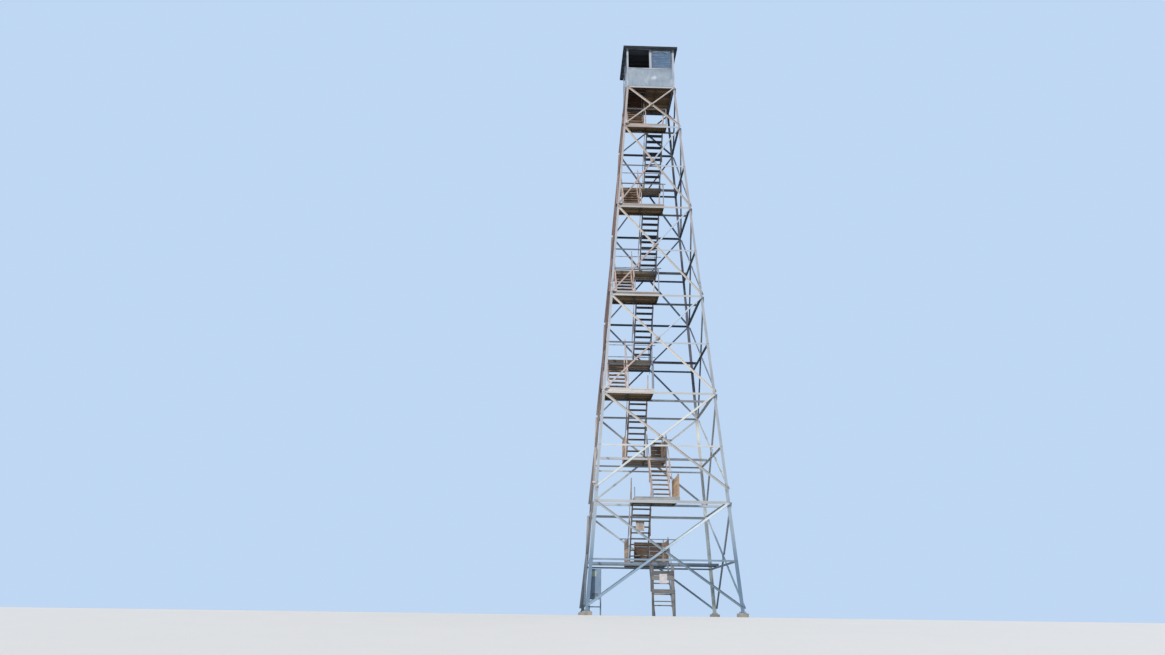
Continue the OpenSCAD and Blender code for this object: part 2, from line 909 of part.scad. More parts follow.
// Equipment cabinet on an open stand beside the front left leg, behind its pier

box_x = -half_w(stand_h + box_h) + leg_t + leg_clear;
box_y = -half_w(foot_z) + (leg_low_b + pier_w) / 2 + seat_gap;

module cabinet_stand() {
    for (x = [0, box_w - stand_b], y = [0, box_d - stand_b])
        translate([x, y, 0])
            cube([stand_b, stand_b, stand_h - seat_gap]);
    for (y = [0, box_d - stand_b])
        translate([0, y, stand_h / 2])
            cube([box_w, stand_b, stand_b]);
}

module equipment_cabinet()
    color(cabinet_blue)
        translate([box_x, box_y, 0]) {
            cabinet_stand();
            translate([0, 0, stand_h])
                cube([box_w, box_d, box_h]);
        }

// Bare plates: one on the entrance boards, one under a tread of the second
// flight, a label on the cabinet, and a bracket on the front left leg

sign_t = 3;
sign_w = 280;
sign_h = 330;
hung_tread = 7;
hung_w = 320;
hung_h = 350;
label_w = 190;
label_h = 180;
bracket_h = 60;
bracket_w = 30;
bracket_l = 110;

module entrance_sign()
    translate([entrance_x + (entrance_w - sign_w) / 2 + 10,
               entrance_y - entrance_d - board_t - 2 * seat_gap - sign_t,
               panel_z - 110])
        cube([sign_w, sign_t, sign_h]);

module hung_sign() {
    z = flight_low(2) + hung_tread * flight_rise(2) / risers - tread_t - seat_gap;
    y = foot_y(2) - hung_tread * flight_rise(2) / risers / stair_tan(2);
    translate([lane_x(2) + (flight_w - hung_w) / 2 - 30, y, z - hung_h])
        cube([hung_w, sign_t, hung_h]);
}

module cabinet_label()
    translate([box_x + (box_w - label_w) / 4, box_y - sign_t - seat_gap, stand_h + box_h - 1.4 * label_h])
        cube([label_w, sign_t, label_h]);

module leg_bracket() {
    v = splice_v1 + bracket_l;
    on_face(3)
        translate([half_u(v) - 1.5 * bracket_w, v, 0])
            cube([bracket_w, bracket_h, bracket_l]);
}

module sign_plates()
    color("#dcdad2") {
        entrance_sign();
        hung_sign();
        cabinet_label();
        leg_bracket();
    }

concrete_piers();
foot_plates();
front_left_leg();
front_right_leg();
rear_right_leg();
rear_left_leg();
front_girts();
right_girts();
rear_girts();
left_girts();
front_braces();
right_braces();
rear_braces();
left_braces();
brace_plates();
cross_beams();
landing_joists();
front_landings();
rear_landings();
stair_flight_1();
stair_flight_2();
stair_flight_3();
stair_flight_4();
stair_flight_5();
stair_flight_6();
stair_flight_7();
stair_flight_8();
stair_flight_9();
stair_flight_10();
stair_flight_11();
stair_handrails();
guard_rails();
guard_boards();
entrance_frame();
cab_floor();
cab_posts();
cab_front_wall();
cab_side_walls();
cab_rear_wall();
window_frames();
window_glass();
cab_ceiling();
cab_roof();
equipment_cabinet();
sign_plates();
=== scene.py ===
"""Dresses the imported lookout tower: weathered steel, planks, bolts, windows and sheet metal.

Every CAD solid is read from the frame and rebuilt with its details, in metres, in the row's frame.
"""

import math
import random
from itertools import product

import bmesh
import bpy
import numpy as np
from mathutils import Matrix, Vector, noise


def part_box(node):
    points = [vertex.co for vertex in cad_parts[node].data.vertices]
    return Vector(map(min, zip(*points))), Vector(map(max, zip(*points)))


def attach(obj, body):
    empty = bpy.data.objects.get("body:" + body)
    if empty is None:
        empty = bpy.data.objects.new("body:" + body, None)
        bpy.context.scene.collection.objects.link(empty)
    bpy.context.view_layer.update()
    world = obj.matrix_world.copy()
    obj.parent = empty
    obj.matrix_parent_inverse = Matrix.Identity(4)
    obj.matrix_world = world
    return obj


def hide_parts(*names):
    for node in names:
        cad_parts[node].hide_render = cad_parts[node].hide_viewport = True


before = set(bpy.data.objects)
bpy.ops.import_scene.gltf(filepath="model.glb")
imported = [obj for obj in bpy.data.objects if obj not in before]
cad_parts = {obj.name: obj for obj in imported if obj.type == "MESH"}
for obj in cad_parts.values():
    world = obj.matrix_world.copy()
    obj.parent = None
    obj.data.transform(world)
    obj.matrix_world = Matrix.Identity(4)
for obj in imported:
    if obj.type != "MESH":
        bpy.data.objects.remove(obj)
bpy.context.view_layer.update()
rng = random.Random(7)

# The tower's own sizes, as in the CAD source
BASE_W = 5.440
TOP_W = 2.134
FIRST_LEVEL = 1.880
HALF_RISE = 2.032
CAB_LIFT = 0.110
RINGS = 11
PANELS = 6
LEG_B = (0.127, 0.102, 0.089)
SPLICE_UP = 0.470
SPLICE_L = 0.380
FOOT_Z = 0.146
BRACE_END = 0.075
BRACE_FOOT = 0.170
BRACE_T = 0.006
CORNER_POST = 0.991

# The heights between which the photo's colours turn from the low ones to the high ones
LOW_PART = (7.2, 9.2)


def ring_z(k):
    """Height of a ring of girts."""
    return FIRST_LEVEL + (k - 1) * HALF_RISE + (CAB_LIFT if k == RINGS else 0.0)


CAB_Z = ring_z(RINGS)
BATTER = math.atan((BASE_W - TOP_W) / 2 / CAB_Z)
SPLICES = ((ring_z(2) + SPLICE_UP, LEG_B[1]), (ring_z(6) + SPLICE_UP, LEG_B[2]))


def half_u(v):
    """Half the width over the legs at a distance up the slope of a face."""
    return BASE_W / 2 - v * math.sin(BATTER)


def up_face(z):
    """The distance up the slope of a face at a height."""
    return z / math.cos(BATTER)


def turned(i, p):
    """A point turned by quarter turns about the tower's axis."""
    x, y, z = p
    for _ in range(i % 4):
        x, y = -y, x
    return Vector((x, y, z))


def on_face(i, u, v, w):
    """A point of face i: u along the face, v up its slope, w outward from the legs."""
    s, c = math.sin(BATTER), math.cos(BATTER)
    return turned(i, (u, -BASE_W / 2 + v * s - w * c, v * c + w * s))


def face_normal(i):
    return turned(i, (0.0, -math.cos(BATTER), math.sin(BATTER)))


# Materials


class Nodes:
    """A node tree, with short names for the few kinds used here."""

    def __init__(self, tree):
        self.tree = tree

    def node(self, kind, **values):
        made = self.tree.nodes.new("ShaderNode" + kind)
        for key, value in values.items():
            setattr(made, key, value)
        return made

    def feed(self, socket, value):
        """Links a socket, or sets it where the value is plain."""
        if isinstance(value, bpy.types.NodeSocket):
            self.tree.links.new(value, socket)
        else:
            socket.default_value = (*value, 1.0) if socket.type == "RGBA" else value

    def fed(self, kind, inputs, output=0, **values):
        """One output of a new node, with the node's inputs fed."""
        made = self.node(kind, **values)
        for key, value in inputs.items():
            self.feed(made.inputs[key], value)
        return made.outputs[output]

    def attribute(self, name, output="Fac"):
        return self.node("Attribute", attribute_name=name).outputs[output]

    def place(self):
        return self.node("TexCoord").outputs["Object"]

    def normal(self):
        return self.node("NewGeometry").outputs["Normal"]

    def stretched(self, vector, scale):
        return self.fed("VectorMath", {0: vector, 1: scale}, operation="MULTIPLY")

    def noise(self, vector, scale, detail=4.0, rough=0.55):
        inputs = {"Vector": vector, "Scale": scale, "Detail": detail, "Roughness": rough}
        return self.fed("TexNoise", inputs, "Fac")

    def cells(self, vector, scale):
        return self.fed("TexVoronoi", {"Vector": vector, "Scale": scale}, "Color")

    def math(self, operation, a, b):
        return self.fed("Math", {0: a, 1: b}, operation=operation)

    def sum(self, *terms):
        """Adds numbers, each of them plain or a pair of a number and its weight."""
        terms = [self.math("MULTIPLY", *term) if isinstance(term, tuple) else term for term in terms]
        total = terms[0]
        for term in terms[1:]:
            total = self.math("ADD", total, term)
        return total

    def span(self, value, low, high, to_low=0.0, to_high=1.0):
        """Maps low..high to to_low..to_high, smoothly and clamped."""
        inputs = {"Value": value, "From Min": low, "From Max": high, "To Min": to_low, "To Max": to_high}
        return self.fed("MapRange", inputs, "Result", interpolation_type="SMOOTHSTEP")

    def mix(self, factor, a, b, blend="MIX"):
        return self.fed("Mix", {0: factor, 6: a, 7: b}, 2, data_type="RGBA", blend_type=blend)

    def tinted(self, base, colour):
        return self.mix(1.0, base, colour, "MULTIPLY")

    def dimmed(self, base, value):
        """A colour times a number."""
        return self.tinted(base, self.fed("CombineColor", {0: value, 1: value, 2: value}))

    def part(self, vector, axis):
        return self.fed("SeparateXYZ", {0: vector}, axis)

    def seen(self):
        """1 for the camera's rays and for those of mirrors and glass, 0 for light on the object."""
        path = self.node("LightPath").outputs
        clear = self.math("MAXIMUM", path["Is Glossy Ray"], path["Is Transmission Ray"])
        return self.math("MAXIMUM", path["Is Camera Ray"], clear)


class Shader(Nodes):
    """A material."""

    def __init__(self, name):
        self.material = bpy.data.materials.new(name)
        self.material.use_nodes = True
        super().__init__(self.material.node_tree)
        self.bsdf = self.tree.nodes["Principled BSDF"]

    def bump(self, height, strength, distance):
        inputs = {"Height": height, "Strength": strength, "Distance": distance}
        self.feed(self.bsdf.inputs["Normal"], self.fed("Bump", inputs))

    def give(self, **values):
        for key, value in values.items():
            self.feed(self.bsdf.inputs[key.replace("_", " ")], value)
        return self.material


RUST = (0.3, 0.145, 0.08)
DEEP_RUST = (0.15, 0.0725, 0.04)
STAIN = (0.72, 0.77, 0.84)


def steel(name, pale, deep, rust_from, rust_to, patina=(0.5, 0.385, 0.33), inner=None, low=None,
          split=None, foot=(0.52, 0.6, 0.68)):
    """Weathered galvanised steel. Rust shows where its noise passes rust_from to rust_to.

    inner is a dark colour, above LOW_PART, for the sides that face the tower's axis and for the undersides:
    painted shade.
    low is the paler colour below it: the step from the colours above to low is painted shade above and
    painted light below.
    split is the colour above it where x is below 0: painted shade on the front sub-girts and cool bars,
    painted light on the beams.
    foot tints the lowest storey, and below 7 m the colour turns bluer: painted shade.
    """
    s = Shader(name)
    at, tone = s.place(), s.attribute("tone")
    up = s.part(at, 2)
    broad = s.noise(at, 0.9, 3.0)
    streak = s.noise(s.stretched(s.attribute("grain", "Vector"), (1.2, 26.0, 26.0)), 1.0, 5.0)
    fleck = s.noise(at, 38.0, 6.0, 0.6)
    shade = s.sum((broad, 0.45), (streak, 0.35), (tone, 0.35))
    base = s.mix(s.span(shade, 0.25, 0.8), deep, pale)
    base = s.dimmed(base, s.span(s.part(s.cells(at, 85.0), 0), 0.0, 1.0, 0.93, 1.05))

    high = s.span(up, 9.0, 22.0, 0.0, 0.11)
    wear = s.sum((s.noise(at, 3.1, 7.0, 0.68), 0.6), (streak, 0.4))
    mask = s.span(s.sum(wear, (high, 0.4)), rust_from, rust_to)
    film = s.span(s.sum(wear, (high, 2.0)), rust_from - 0.12, rust_to + 0.08, 0.0, 0.62)
    base = s.mix(film, base, patina)

    vary = s.span(shade, 0.25, 0.8, 0.65, 1.3)
    # Below LOW_PART the paler low colour: the colours above carry painted shade, low painted light.
    if low is not None:
        base = s.mix(s.span(up, *LOW_PART, 0.9, 0.0), base, s.dimmed(low, vary))
    # Above LOW_PART the sides facing the axis and the undersides take the dark inner colour: painted shade.
    if inner is not None:
        facing = s.normal()
        inward = s.math("MULTIPLY", s.part(facing, 2), -0.8)
        for axis in (0, 1):
            outward = s.math("MULTIPLY", s.part(facing, axis), s.part(at, axis))
            inward = s.math("SUBTRACT", inward, outward)
        painted_shade = s.math("MULTIPLY", s.span(inward, 0.0, 0.4), s.span(up, *LOW_PART, 0.0, 0.95))
        base = s.mix(painted_shade, base, s.dimmed(inner, vary))
    # Left of x = 0 above LOW_PART the split colour: painted shade, and on the beams painted light.
    if split is not None:
        half = s.math("MULTIPLY", s.span(s.part(at, 0), -0.25, 0.25, 0.9, 0.0), s.span(up, *LOW_PART))
        base = s.mix(half, base, s.dimmed(split, vary))
    # Bluer below 7 m and tinted by foot in the lowest storey: painted shade.
    for low_end, high_end, tint in ((1.0, 7.0, (0.73, 0.87, 1.0)), (1.5, 3.0, foot)):
        base = s.mix(s.span(up, low_end, high_end, 1.0, 0.0), base, s.tinted(base, tint))

    rust = s.mix(s.span(fleck, 0.35, 0.65), RUST, DEEP_RUST)
    base = s.mix(s.math("MULTIPLY", mask, s.span(fleck, 0.3, 0.62, 0.25, 0.85)), base, rust)
    s.bump(s.sum((fleck, 0.6), (mask, 0.5)), 0.35, 0.002)
    roughness = s.span(s.sum((fleck, 0.5), mask), 0.2, 1.2, 0.46, 0.88)
    return s.give(Base_Color=base, Metallic=s.span(mask, 0.0, 1.0, 0.25, 0.05), Roughness=roughness)


def timber(name, under, top, worn, paint=None, bump=0.5):
    """Weathered planks with grain along each board, darker below than on top: weathering and painted shade.
    """
    s = Shader(name)
    at, tone, grain = s.place(), s.attribute("tone"), s.attribute("grain", "Vector")
    fibre = s.noise(s.stretched(grain, (1.6, 62.0, 62.0)), 1.0, 6.0, 0.62)
    ring = s.noise(s.stretched(grain, (0.5, 11.0, 11.0)), 1.0, 3.0)
    stain = s.noise(at, 2.3, 5.0, 0.6)
    # Undersides darker than tops: weathering and painted shade.
    base = s.mix(s.span(s.sum(s.part(s.normal(), 2), (stain, 0.5)), -0.35, 0.75), under, top)
    base = s.mix(s.span(s.sum((ring, 0.5), (tone, 0.55)), 0.2, 0.95, 0.0, 0.7), base, worn)
    base = s.dimmed(base, s.span(tone, 0.0, 1.0, 0.62, 1.26))
    base = s.dimmed(base, s.span(fibre, 0.3, 0.62, 0.55, 1.12))
    base = s.dimmed(base, s.span(stain, 0.5, 0.72, 1.0, 0.62))
    if paint is not None:
        base = s.mix(s.span(s.sum(fibre, (stain, 0.5)), 0.66, 0.8), base, paint)
    s.bump(s.sum(fibre, (ring, 0.4)), bump, 0.004)
    return s.give(Base_Color=base, Roughness=s.span(fibre, 0.3, 0.7, 0.9, 0.7))


def sheet(name, pale, deep, blotch, stain_at=None, gloss=0.4):
    """Galvanised sheet with blotches, run-off, a little rust, and a white stain at a place."""
    s = Shader(name)
    at, tone = s.place(), s.attribute("tone")
    cloud = s.noise(at, 2.0, 5.0, 0.6)
    run = s.noise(s.stretched(at, (9.0, 9.0, 0.9)), 1.0, 5.0, 0.6)
    patch = s.noise(s.stretched(at, (1.0, 1.0, 0.8)), 2.6, 3.0)
    base = s.mix(s.span(s.sum(cloud, (tone, 0.25)), 0.4, 0.72), deep, pale)
    base = s.mix(s.span(run, 0.48, 0.7, 0.0, 0.7), base, deep)
    base = s.mix(s.span(patch, 0.52, 0.68, 0.0, 0.85), base, blotch)
    if stain_at is not None:
        away = s.fed("VectorMath", {0: at, 1: stain_at}, "Value", operation="DISTANCE")
        reach = s.sum(away, (s.noise(at, 7.0), 0.3))
        base = s.mix(s.span(reach, 0.15, 0.3, 0.75, 0.0), base, STAIN)
    mask = s.span(s.sum((s.noise(at, 5.0, 8.0, 0.7), 0.7), (run, 0.3)), 0.6, 0.68, 0.0, 0.8)
    base = s.mix(mask, base, RUST)
    s.bump(s.sum(cloud, (s.noise(at, 55.0, 5.0), 0.05)), 0.35, 0.03)
    roughness = s.span(s.sum(cloud, mask), 0.3, 1.0, gloss, gloss + 0.35)
    return s.give(Base_Color=base, Metallic=s.span(mask, 0.0, 1.0, 0.35, 0.0), Roughness=roughness)


def plain(name, colour, second, rough_low=0.5, rough_high=0.7, scale=6.0, bump=0.1, depth=0.002):
    """A colour with a second one mixed in by noise, and a grain of bump."""
    s = Shader(name)
    at = s.place()
    cloud = s.noise(at, scale, 6.0, 0.62)
    fine = s.noise(at, scale * 14, 5.0)
    s.bump(s.sum(cloud, (fine, 0.5)), bump, depth)
    return s.give(Base_Color=s.mix(s.span(cloud, 0.38, 0.66), colour, second),
                  Roughness=s.span(fine, 0.3, 0.7, rough_low, rough_high))


def pane(name):
    """Window glass."""
    values = {"Base_Color": (0.8, 0.88, 0.92), "Roughness": 0.06, "Transmission_Weight": 1.0, "IOR": 1.45}
    return Shader(name).give(**values)


MAT = {
    "leg": steel("galvanised_legs", (0.56, 0.6, 0.64), (0.3, 0.35, 0.41), 0.62, 0.72),
    # Rust-tinted, with painted shade on the sides facing the axis above LOW_PART.
    "pink_leg": steel("rusty_shaded_legs", (0.5, 0.44, 0.43), (0.27, 0.22, 0.22), 0.56, 0.7,
                      inner=(0.2, 0.145, 0.145), low=(0.62, 0.58, 0.55)),
    "shaded_leg": steel("shaded_legs", (0.56, 0.6, 0.64), (0.3, 0.35, 0.41), 0.62, 0.72,
                        inner=(0.13, 0.135, 0.17), low=(0.66, 0.66, 0.62), foot=(1.0, 0.95, 0.85)),
    "bar": steel("galvanised_bars", (0.76, 0.73, 0.68), (0.48, 0.48, 0.48), 0.64, 0.74),
    # Darker than the bars of the front, for the rear and right faces: painted shade.
    "shaded_bar": steel("shaded_bars", (0.46, 0.49, 0.52), (0.24, 0.28, 0.33), 0.62, 0.74,
                      inner=(0.055, 0.085, 0.135), low=(0.58, 0.6, 0.59)),
    # Bluish bars whose left halves above LOW_PART are darker and browner: painted shade.
    "pale_bar": steel("cool_bars", (0.56, 0.64, 0.74), (0.38, 0.46, 0.56), 0.64, 0.74,
                      (0.5, 0.52, 0.56), low=(0.66, 0.66, 0.63), split=(0.43, 0.325, 0.275)),
    "pink_bar": steel("rusty_bars", (0.38, 0.275, 0.26), (0.2, 0.145, 0.145), 0.58, 0.72,
                      low=(0.62, 0.56, 0.53)),
    "cab_bar": steel("cab_sills", (0.56, 0.6, 0.65), (0.4, 0.44, 0.5), 0.64, 0.74, (0.48, 0.49, 0.51)),
    # Its left half above LOW_PART is near black: painted shade.
    "split_bar": steel("front_sub_girts", (0.58, 0.63, 0.7), (0.42, 0.47, 0.54), 0.64, 0.74,
                       (0.52, 0.5, 0.52), low=(0.64, 0.66, 0.66), split=(0.085, 0.098, 0.125)),
    # Near black above LOW_PART: painted shade; the paler split colour on its left half is painted light.
    "beam": steel("galvanised_beams", (0.07, 0.076, 0.09), (0.034, 0.04, 0.055), 0.64, 0.74,
                  (0.095, 0.082, 0.074), low=(0.52, 0.54, 0.57), split=(0.16, 0.125, 0.085)),
    "channel": steel("shaded_channels", (0.26, 0.28, 0.33), (0.1, 0.12, 0.16), 0.6, 0.72,
                     (0.3, 0.235, 0.22), low=(0.36, 0.27, 0.22)),
    "rail": steel("galvanised_rails", (0.72, 0.6, 0.54), (0.48, 0.38, 0.33), 0.56, 0.7),
    "guard_rail": steel("guard_rails", (0.34, 0.38, 0.45), (0.15, 0.19, 0.26), 0.6, 0.72,
                        (0.3, 0.27, 0.28)),
    "stringer": steel("stair_channels", (0.72, 0.57, 0.5), (0.48, 0.36, 0.31), 0.57, 0.7),
    "plate": steel("dull_plates", (0.6, 0.58, 0.55), (0.42, 0.41, 0.39), 0.6, 0.72),
    "bolt": steel("bolts", (0.42, 0.39, 0.36), (0.24, 0.21, 0.19), 0.48, 0.64),
    "deck": timber("deck_planks", (0.205, 0.14, 0.072), (0.6, 0.53, 0.44), (0.33, 0.245, 0.145)),
    "joist": timber("sawn_joists", (0.04, 0.036, 0.036), (0.34, 0.29, 0.24), (0.085, 0.066, 0.052)),
    # Edge woods: pale ones are weathering and painted light; the blue-grey and the upper ones are painted
    # shade.
    "nose": timber("deck_edges", (0.43, 0.385, 0.355), (0.75, 0.75, 0.75), (0.68, 0.68, 0.7)),
    "cool_nose": timber("grey_deck_edges", (0.21, 0.24, 0.27), (0.4, 0.435, 0.46), (0.33, 0.36, 0.39)),
    "high_nose": timber("upper_deck_edges", (0.24, 0.2, 0.17), (0.66, 0.66, 0.68), (0.38, 0.34, 0.32)),
    "tread": timber("stair_treads", (0.17, 0.105, 0.068), (0.54, 0.42, 0.31), (0.24, 0.15, 0.1)),
    # The even flights' treads, near black and dark brown lower down: painted shade.
    "dark_tread": timber("shaded_treads", (0.014, 0.02, 0.04), (0.13, 0.115, 0.11), (0.03, 0.034, 0.05)),
    "low_tread": timber("low_stair_treads", (0.075, 0.05, 0.034), (0.3, 0.25, 0.2), (0.13, 0.088, 0.06)),
    "guard": timber("guard_planks", (0.36, 0.235, 0.15), (0.54, 0.42, 0.31), (0.45, 0.3, 0.2)),
    # Darker planks for the boards that run across x: painted shade.
    "dark_guard": timber("rear_guard_planks", (0.06, 0.042, 0.033), (0.2, 0.155, 0.125),
                         (0.09, 0.062, 0.048)),
    "grey_wood": timber("entrance_planks", (0.165, 0.165, 0.17), (0.31, 0.32, 0.33), (0.22, 0.22, 0.225)),
    "cab_wood": timber("cab_boards", (0.125, 0.072, 0.04), (0.26, 0.19, 0.12), (0.245, 0.165, 0.06)),
    "inside": timber("inside_boards", (0.26, 0.135, 0.095), (0.34, 0.19, 0.13), (0.3, 0.165, 0.115)),
    # Blue-grey boards, whose blue is a painted reflection of the sky.
    "ceiling": timber("ceiling_boards", (0.115, 0.155, 0.215), (0.13, 0.165, 0.22),
                      (0.125, 0.165, 0.225)),
    "cab_joist": timber("cab_joists", (0.05, 0.036, 0.022), (0.12, 0.09, 0.06), (0.08, 0.055, 0.032)),
    "frame": timber("white_frames", (0.37, 0.435, 0.54), (0.445, 0.51, 0.62), (0.31, 0.36, 0.445),
                    (0.535, 0.605, 0.73), 0.25),
    "sash": timber("window_sashes", (0.21, 0.26, 0.34), (0.3, 0.36, 0.45), (0.24, 0.29, 0.37), bump=0.2),
    "fascia": timber("eaves_boards", (0.008, 0.011, 0.018), (0.022, 0.026, 0.036), (0.012, 0.016, 0.025)),
    "sheet": sheet("cab_sheet", (0.37, 0.43, 0.49), (0.26, 0.32, 0.39), (0.48, 0.53, 0.59),
                   (0.14, -TOP_W / 2, CAB_Z + 0.44)),
    "roof": sheet("roof_sheet", (0.36, 0.36, 0.35), (0.2, 0.2, 0.2), (0.44, 0.43, 0.42), gloss=0.6),
    "concrete": plain("concrete", (0.4, 0.39, 0.37), (0.27, 0.26, 0.245), 0.82, 0.95, 5.0, 0.6, 0.006),
    "cabinet": plain("cabinet_paint", (0.2, 0.3, 0.44), (0.26, 0.36, 0.49), 0.42, 0.62, 3.0),
    "sign": plain("sign_plate", (0.72, 0.73, 0.78), (0.6, 0.58, 0.62), 0.45, 0.65, 9.0),
    "cream": plain("cream_plate", (0.86, 0.76, 0.69), (0.6, 0.51, 0.46), scale=12.0),
    "label": plain("cabinet_label", (0.5, 0.62, 0.56), (0.44, 0.55, 0.5), scale=12.0),
    "blind": plain("window_blinds", (0.37, 0.46, 0.6), (0.26, 0.34, 0.48), scale=3.0, bump=0.05),
    # The darker slats of the blinds: painted shade.
    "blind_shade": plain("blind_laps", (0.18, 0.24, 0.35), (0.13, 0.18, 0.28), scale=3.0, bump=0.05),
    "pale": plain("blind_heads", (0.92, 0.93, 0.94), (0.5, 0.56, 0.64), scale=7.0),
    # The cabinet's vent slots: painted shade.
    "dark": plain("dark_gaps", (0.03, 0.028, 0.026), (0.045, 0.042, 0.038), 0.7, 0.9, bump=0.2),
    "glass": pane("window_glass"),
}


# Meshes

# The faces of a box whose points run over x first, then y, then z
BOX_FACES = [[0, 2, 3, 1], [4, 5, 7, 6], [0, 1, 5, 4], [2, 6, 7, 3], [0, 4, 6, 2], [1, 3, 7, 5]]


def lofted(n, rows):
    """The faces of a closed shape of stacked outlines of n points, with its two ends last."""
    faces = [[r * n + i, r * n + (i + 1) % n, (r + 1) * n + (i + 1) % n, (r + 1) * n + i]
             for r in range(rows - 1) for i in range(n)]
    return faces + [list(range(n))[::-1], list(range((rows - 1) * n, rows * n))]


def flipped(faces):
    return [face[::-1] for face in faces]


def unit(axis):
    return Vector([float(i == axis) for i in range(3)])


def spread(low, high, count):
    """The middles of equal parts."""
    return [low + (high - low) * (i + 0.5) / count for i in range(count)]


def board_rows(low, high, rows, gap):
    """Where equal boards with gaps between them lie, across y."""
    pitch = (high.y - low.y + gap) / rows
    return [(low.y + row * pitch, low.y + row * pitch + pitch - gap) for row in range(rows)]


def new_object(name, data):
    made = bpy.data.objects.new(name, data)
    bpy.context.scene.collection.objects.link(made)
    return made


class Piece:
    """Gathers shapes into one mesh, each with its own grain direction and tone."""

    def __init__(self, name, *materials):
        self.name, self.materials = name, materials
        self.verts, self.faces, self.slots, self.smooth = [], [], [], []
        self.grain, self.tone = [], []

    def add(self, verts, faces, material=0, along=(1, 0, 0), tone=None, smooth=0):
        """Adds a shape, with its grain along a direction. smooth counts the smooth faces, listed first."""
        start = len(self.verts)
        points = [Vector(v) for v in verts]
        a = Vector(along).normalized()
        b = a.orthogonal().normalized()
        c = a.cross(b)
        shift = Vector([rng.uniform(0, 50) for _ in range(3)])
        self.verts += points
        self.grain += [Vector((p.dot(a), p.dot(b), p.dot(c))) + shift for p in points]
        self.tone += [rng.random() if tone is None else tone] * len(points)
        self.faces += [[start + i for i in face] for face in faces]
        self.slots += [material] * len(faces)
        self.smooth += [i < smooth for i in range(len(faces))]

    def build(self, slot, node):
        """Makes the object and gives it to the frame in place of a CAD node."""
        mesh = bpy.data.meshes.new(self.name)
        mesh.from_pydata(self.verts, [], self.faces)
        mesh.polygons.foreach_set("material_index", self.slots)
        mesh.polygons.foreach_set("use_smooth", self.smooth)
        grain = mesh.attributes.new("grain", "FLOAT_VECTOR", "POINT")
        grain.data.foreach_set("vector", [x for g in self.grain for x in g])
        mesh.attributes.new("tone", "FLOAT", "POINT").data.foreach_set("value", self.tone)
        for key in self.materials:
            mesh.materials.append(MAT[key])
        mesh.update()
        made = new_object(self.name, mesh)
        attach(made, "root")
        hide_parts(node)


def solids(node):
    """The closed solids of a CAD node, as (points, faces), with flat faces made whole."""
    work = bmesh.new()
    work.from_mesh(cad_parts[node].data)
    bmesh.ops.remove_doubles(work, verts=work.verts, dist=0.00002)
    bmesh.ops.dissolve_limit(work, angle_limit=0.02, verts=work.verts, edges=work.edges)
    seen, found = set(), []
    for first in work.verts:
        if first in seen:
            continue
        group, queue = [], [first]
        seen.add(first)
        while queue:
            v = queue.pop()
            group.append(v)
            fresh = [e.other_vert(v) for e in v.link_edges if e.other_vert(v) not in seen]
            seen.update(fresh)
            queue += fresh
        place = {v: i for i, v in enumerate(group)}
        faces = {f for v in group for f in v.link_faces}
        ordered = sorted([[place[v] for v in f.verts] for f in faces])
        found.append((np.array([v.co for v in group]), ordered))
    work.free()
    found.sort(key=lambda s: [round(float(x), 4) for x in (*s[0].min(0), *s[0].max(0))])
    return found


def limits(points):
    return Vector(points.min(0)), Vector(points.max(0))


def sized(node):
    """The solids of a CAD node, each with the two corners of its box."""
    return [(solid, *limits(solid[0])) for solid in solids(node)]


def axis_of(points):
    """The direction of a long thin solid."""
    middle = points.mean(0)
    return Vector(np.linalg.svd(points - middle)[2][0])


def copy_solid(piece, solid, material=0, tone=None):
    """The CAD solid's own shape."""
    points, faces = solid
    piece.add(points, faces, material, axis_of(points), tone)


def build_copy(name, material, slot, node):
    """A piece with the CAD node's own shape."""
    piece = Piece(name, material)
    for solid in solids(node):
        copy_solid(piece, solid)
    piece.build(slot, node)


def prism(piece, outline, start, along, side, up, length, material=0, smooth=False):
    """Pushes an outline (across, up) from a start point along a direction."""
    n = len(outline)
    a, s, u = (Vector(v) for v in (along, side, up))
    verts = [Vector(start) + s * x + u * y for x, y in outline]
    verts += [v + a * length for v in verts]
    faces = lofted(n, 2)
    if s.cross(u).dot(a) < 0:
        faces = flipped(faces)
    piece.add(verts, faces, material, a, smooth=n if smooth else 0)


def board(piece, low, high, material=0, tone=None, edge=0.004, trim=0.0, bow=0.0):
    """A plank along its longest side, with worn edges, trimmed ends and a slight bow."""
    low, high = Vector(low), Vector(high)
    size = high - low
    a = max(range(3), key=lambda i: size[i])
    b, c = [i for i in range(3) if i != a]
    edge = min(edge, size[b] / 4, size[c] / 4)
    tone = rng.random() if tone is None else tone
    start = low[a] + rng.random() * trim
    end = high[a] - rng.random() * trim
    thin = b if size[b] < size[c] else c
    bow = min(bow, size[thin] / 5)
    lift = [0.0, rng.random() * bow, rng.random() * bow, 0.0]
    stations = [start, start + (end - start) * 0.33, start + (end - start) * 0.67, end]
    if bow == 0.0:
        lift, stations = [0.0, 0.0], [start, end]
    outline = [(edge, 0), (size[b] - edge, 0), (size[b], edge), (size[b], size[c] - edge),
               (size[b] - edge, size[c]), (edge, size[c]), (0, size[c] - edge), (0, edge)]
    verts = []
    for (where, up), (x, y) in product(zip(stations, lift), outline):
        p = [0.0, 0.0, 0.0]
        p[a], p[b], p[c] = where, low[b] + x, low[c] + y
        if bow:
            inset = (p[thin] - low[thin]) / size[thin]
            p[thin] += up * (1 - inset) * (1 if inset < 0.5 else 0)
        verts.append(p)
    faces = lofted(len(outline), len(stations))
    piece.add(verts, flipped(faces) if a == 1 else faces, material, unit(a), tone)


def block(piece, low, high, material=0, tone=None):
    """A small box."""
    (x0, y0, z0), (x1, y1, z1) = low, high
    verts = [(x, y, z) for z, y, x in product((z0, z1), (y0, y1), (x0, x1))]
    size = Vector(high) - Vector(low)
    piece.add(verts, BOX_FACES, material, unit(max(range(3), key=lambda i: size[i])), tone)


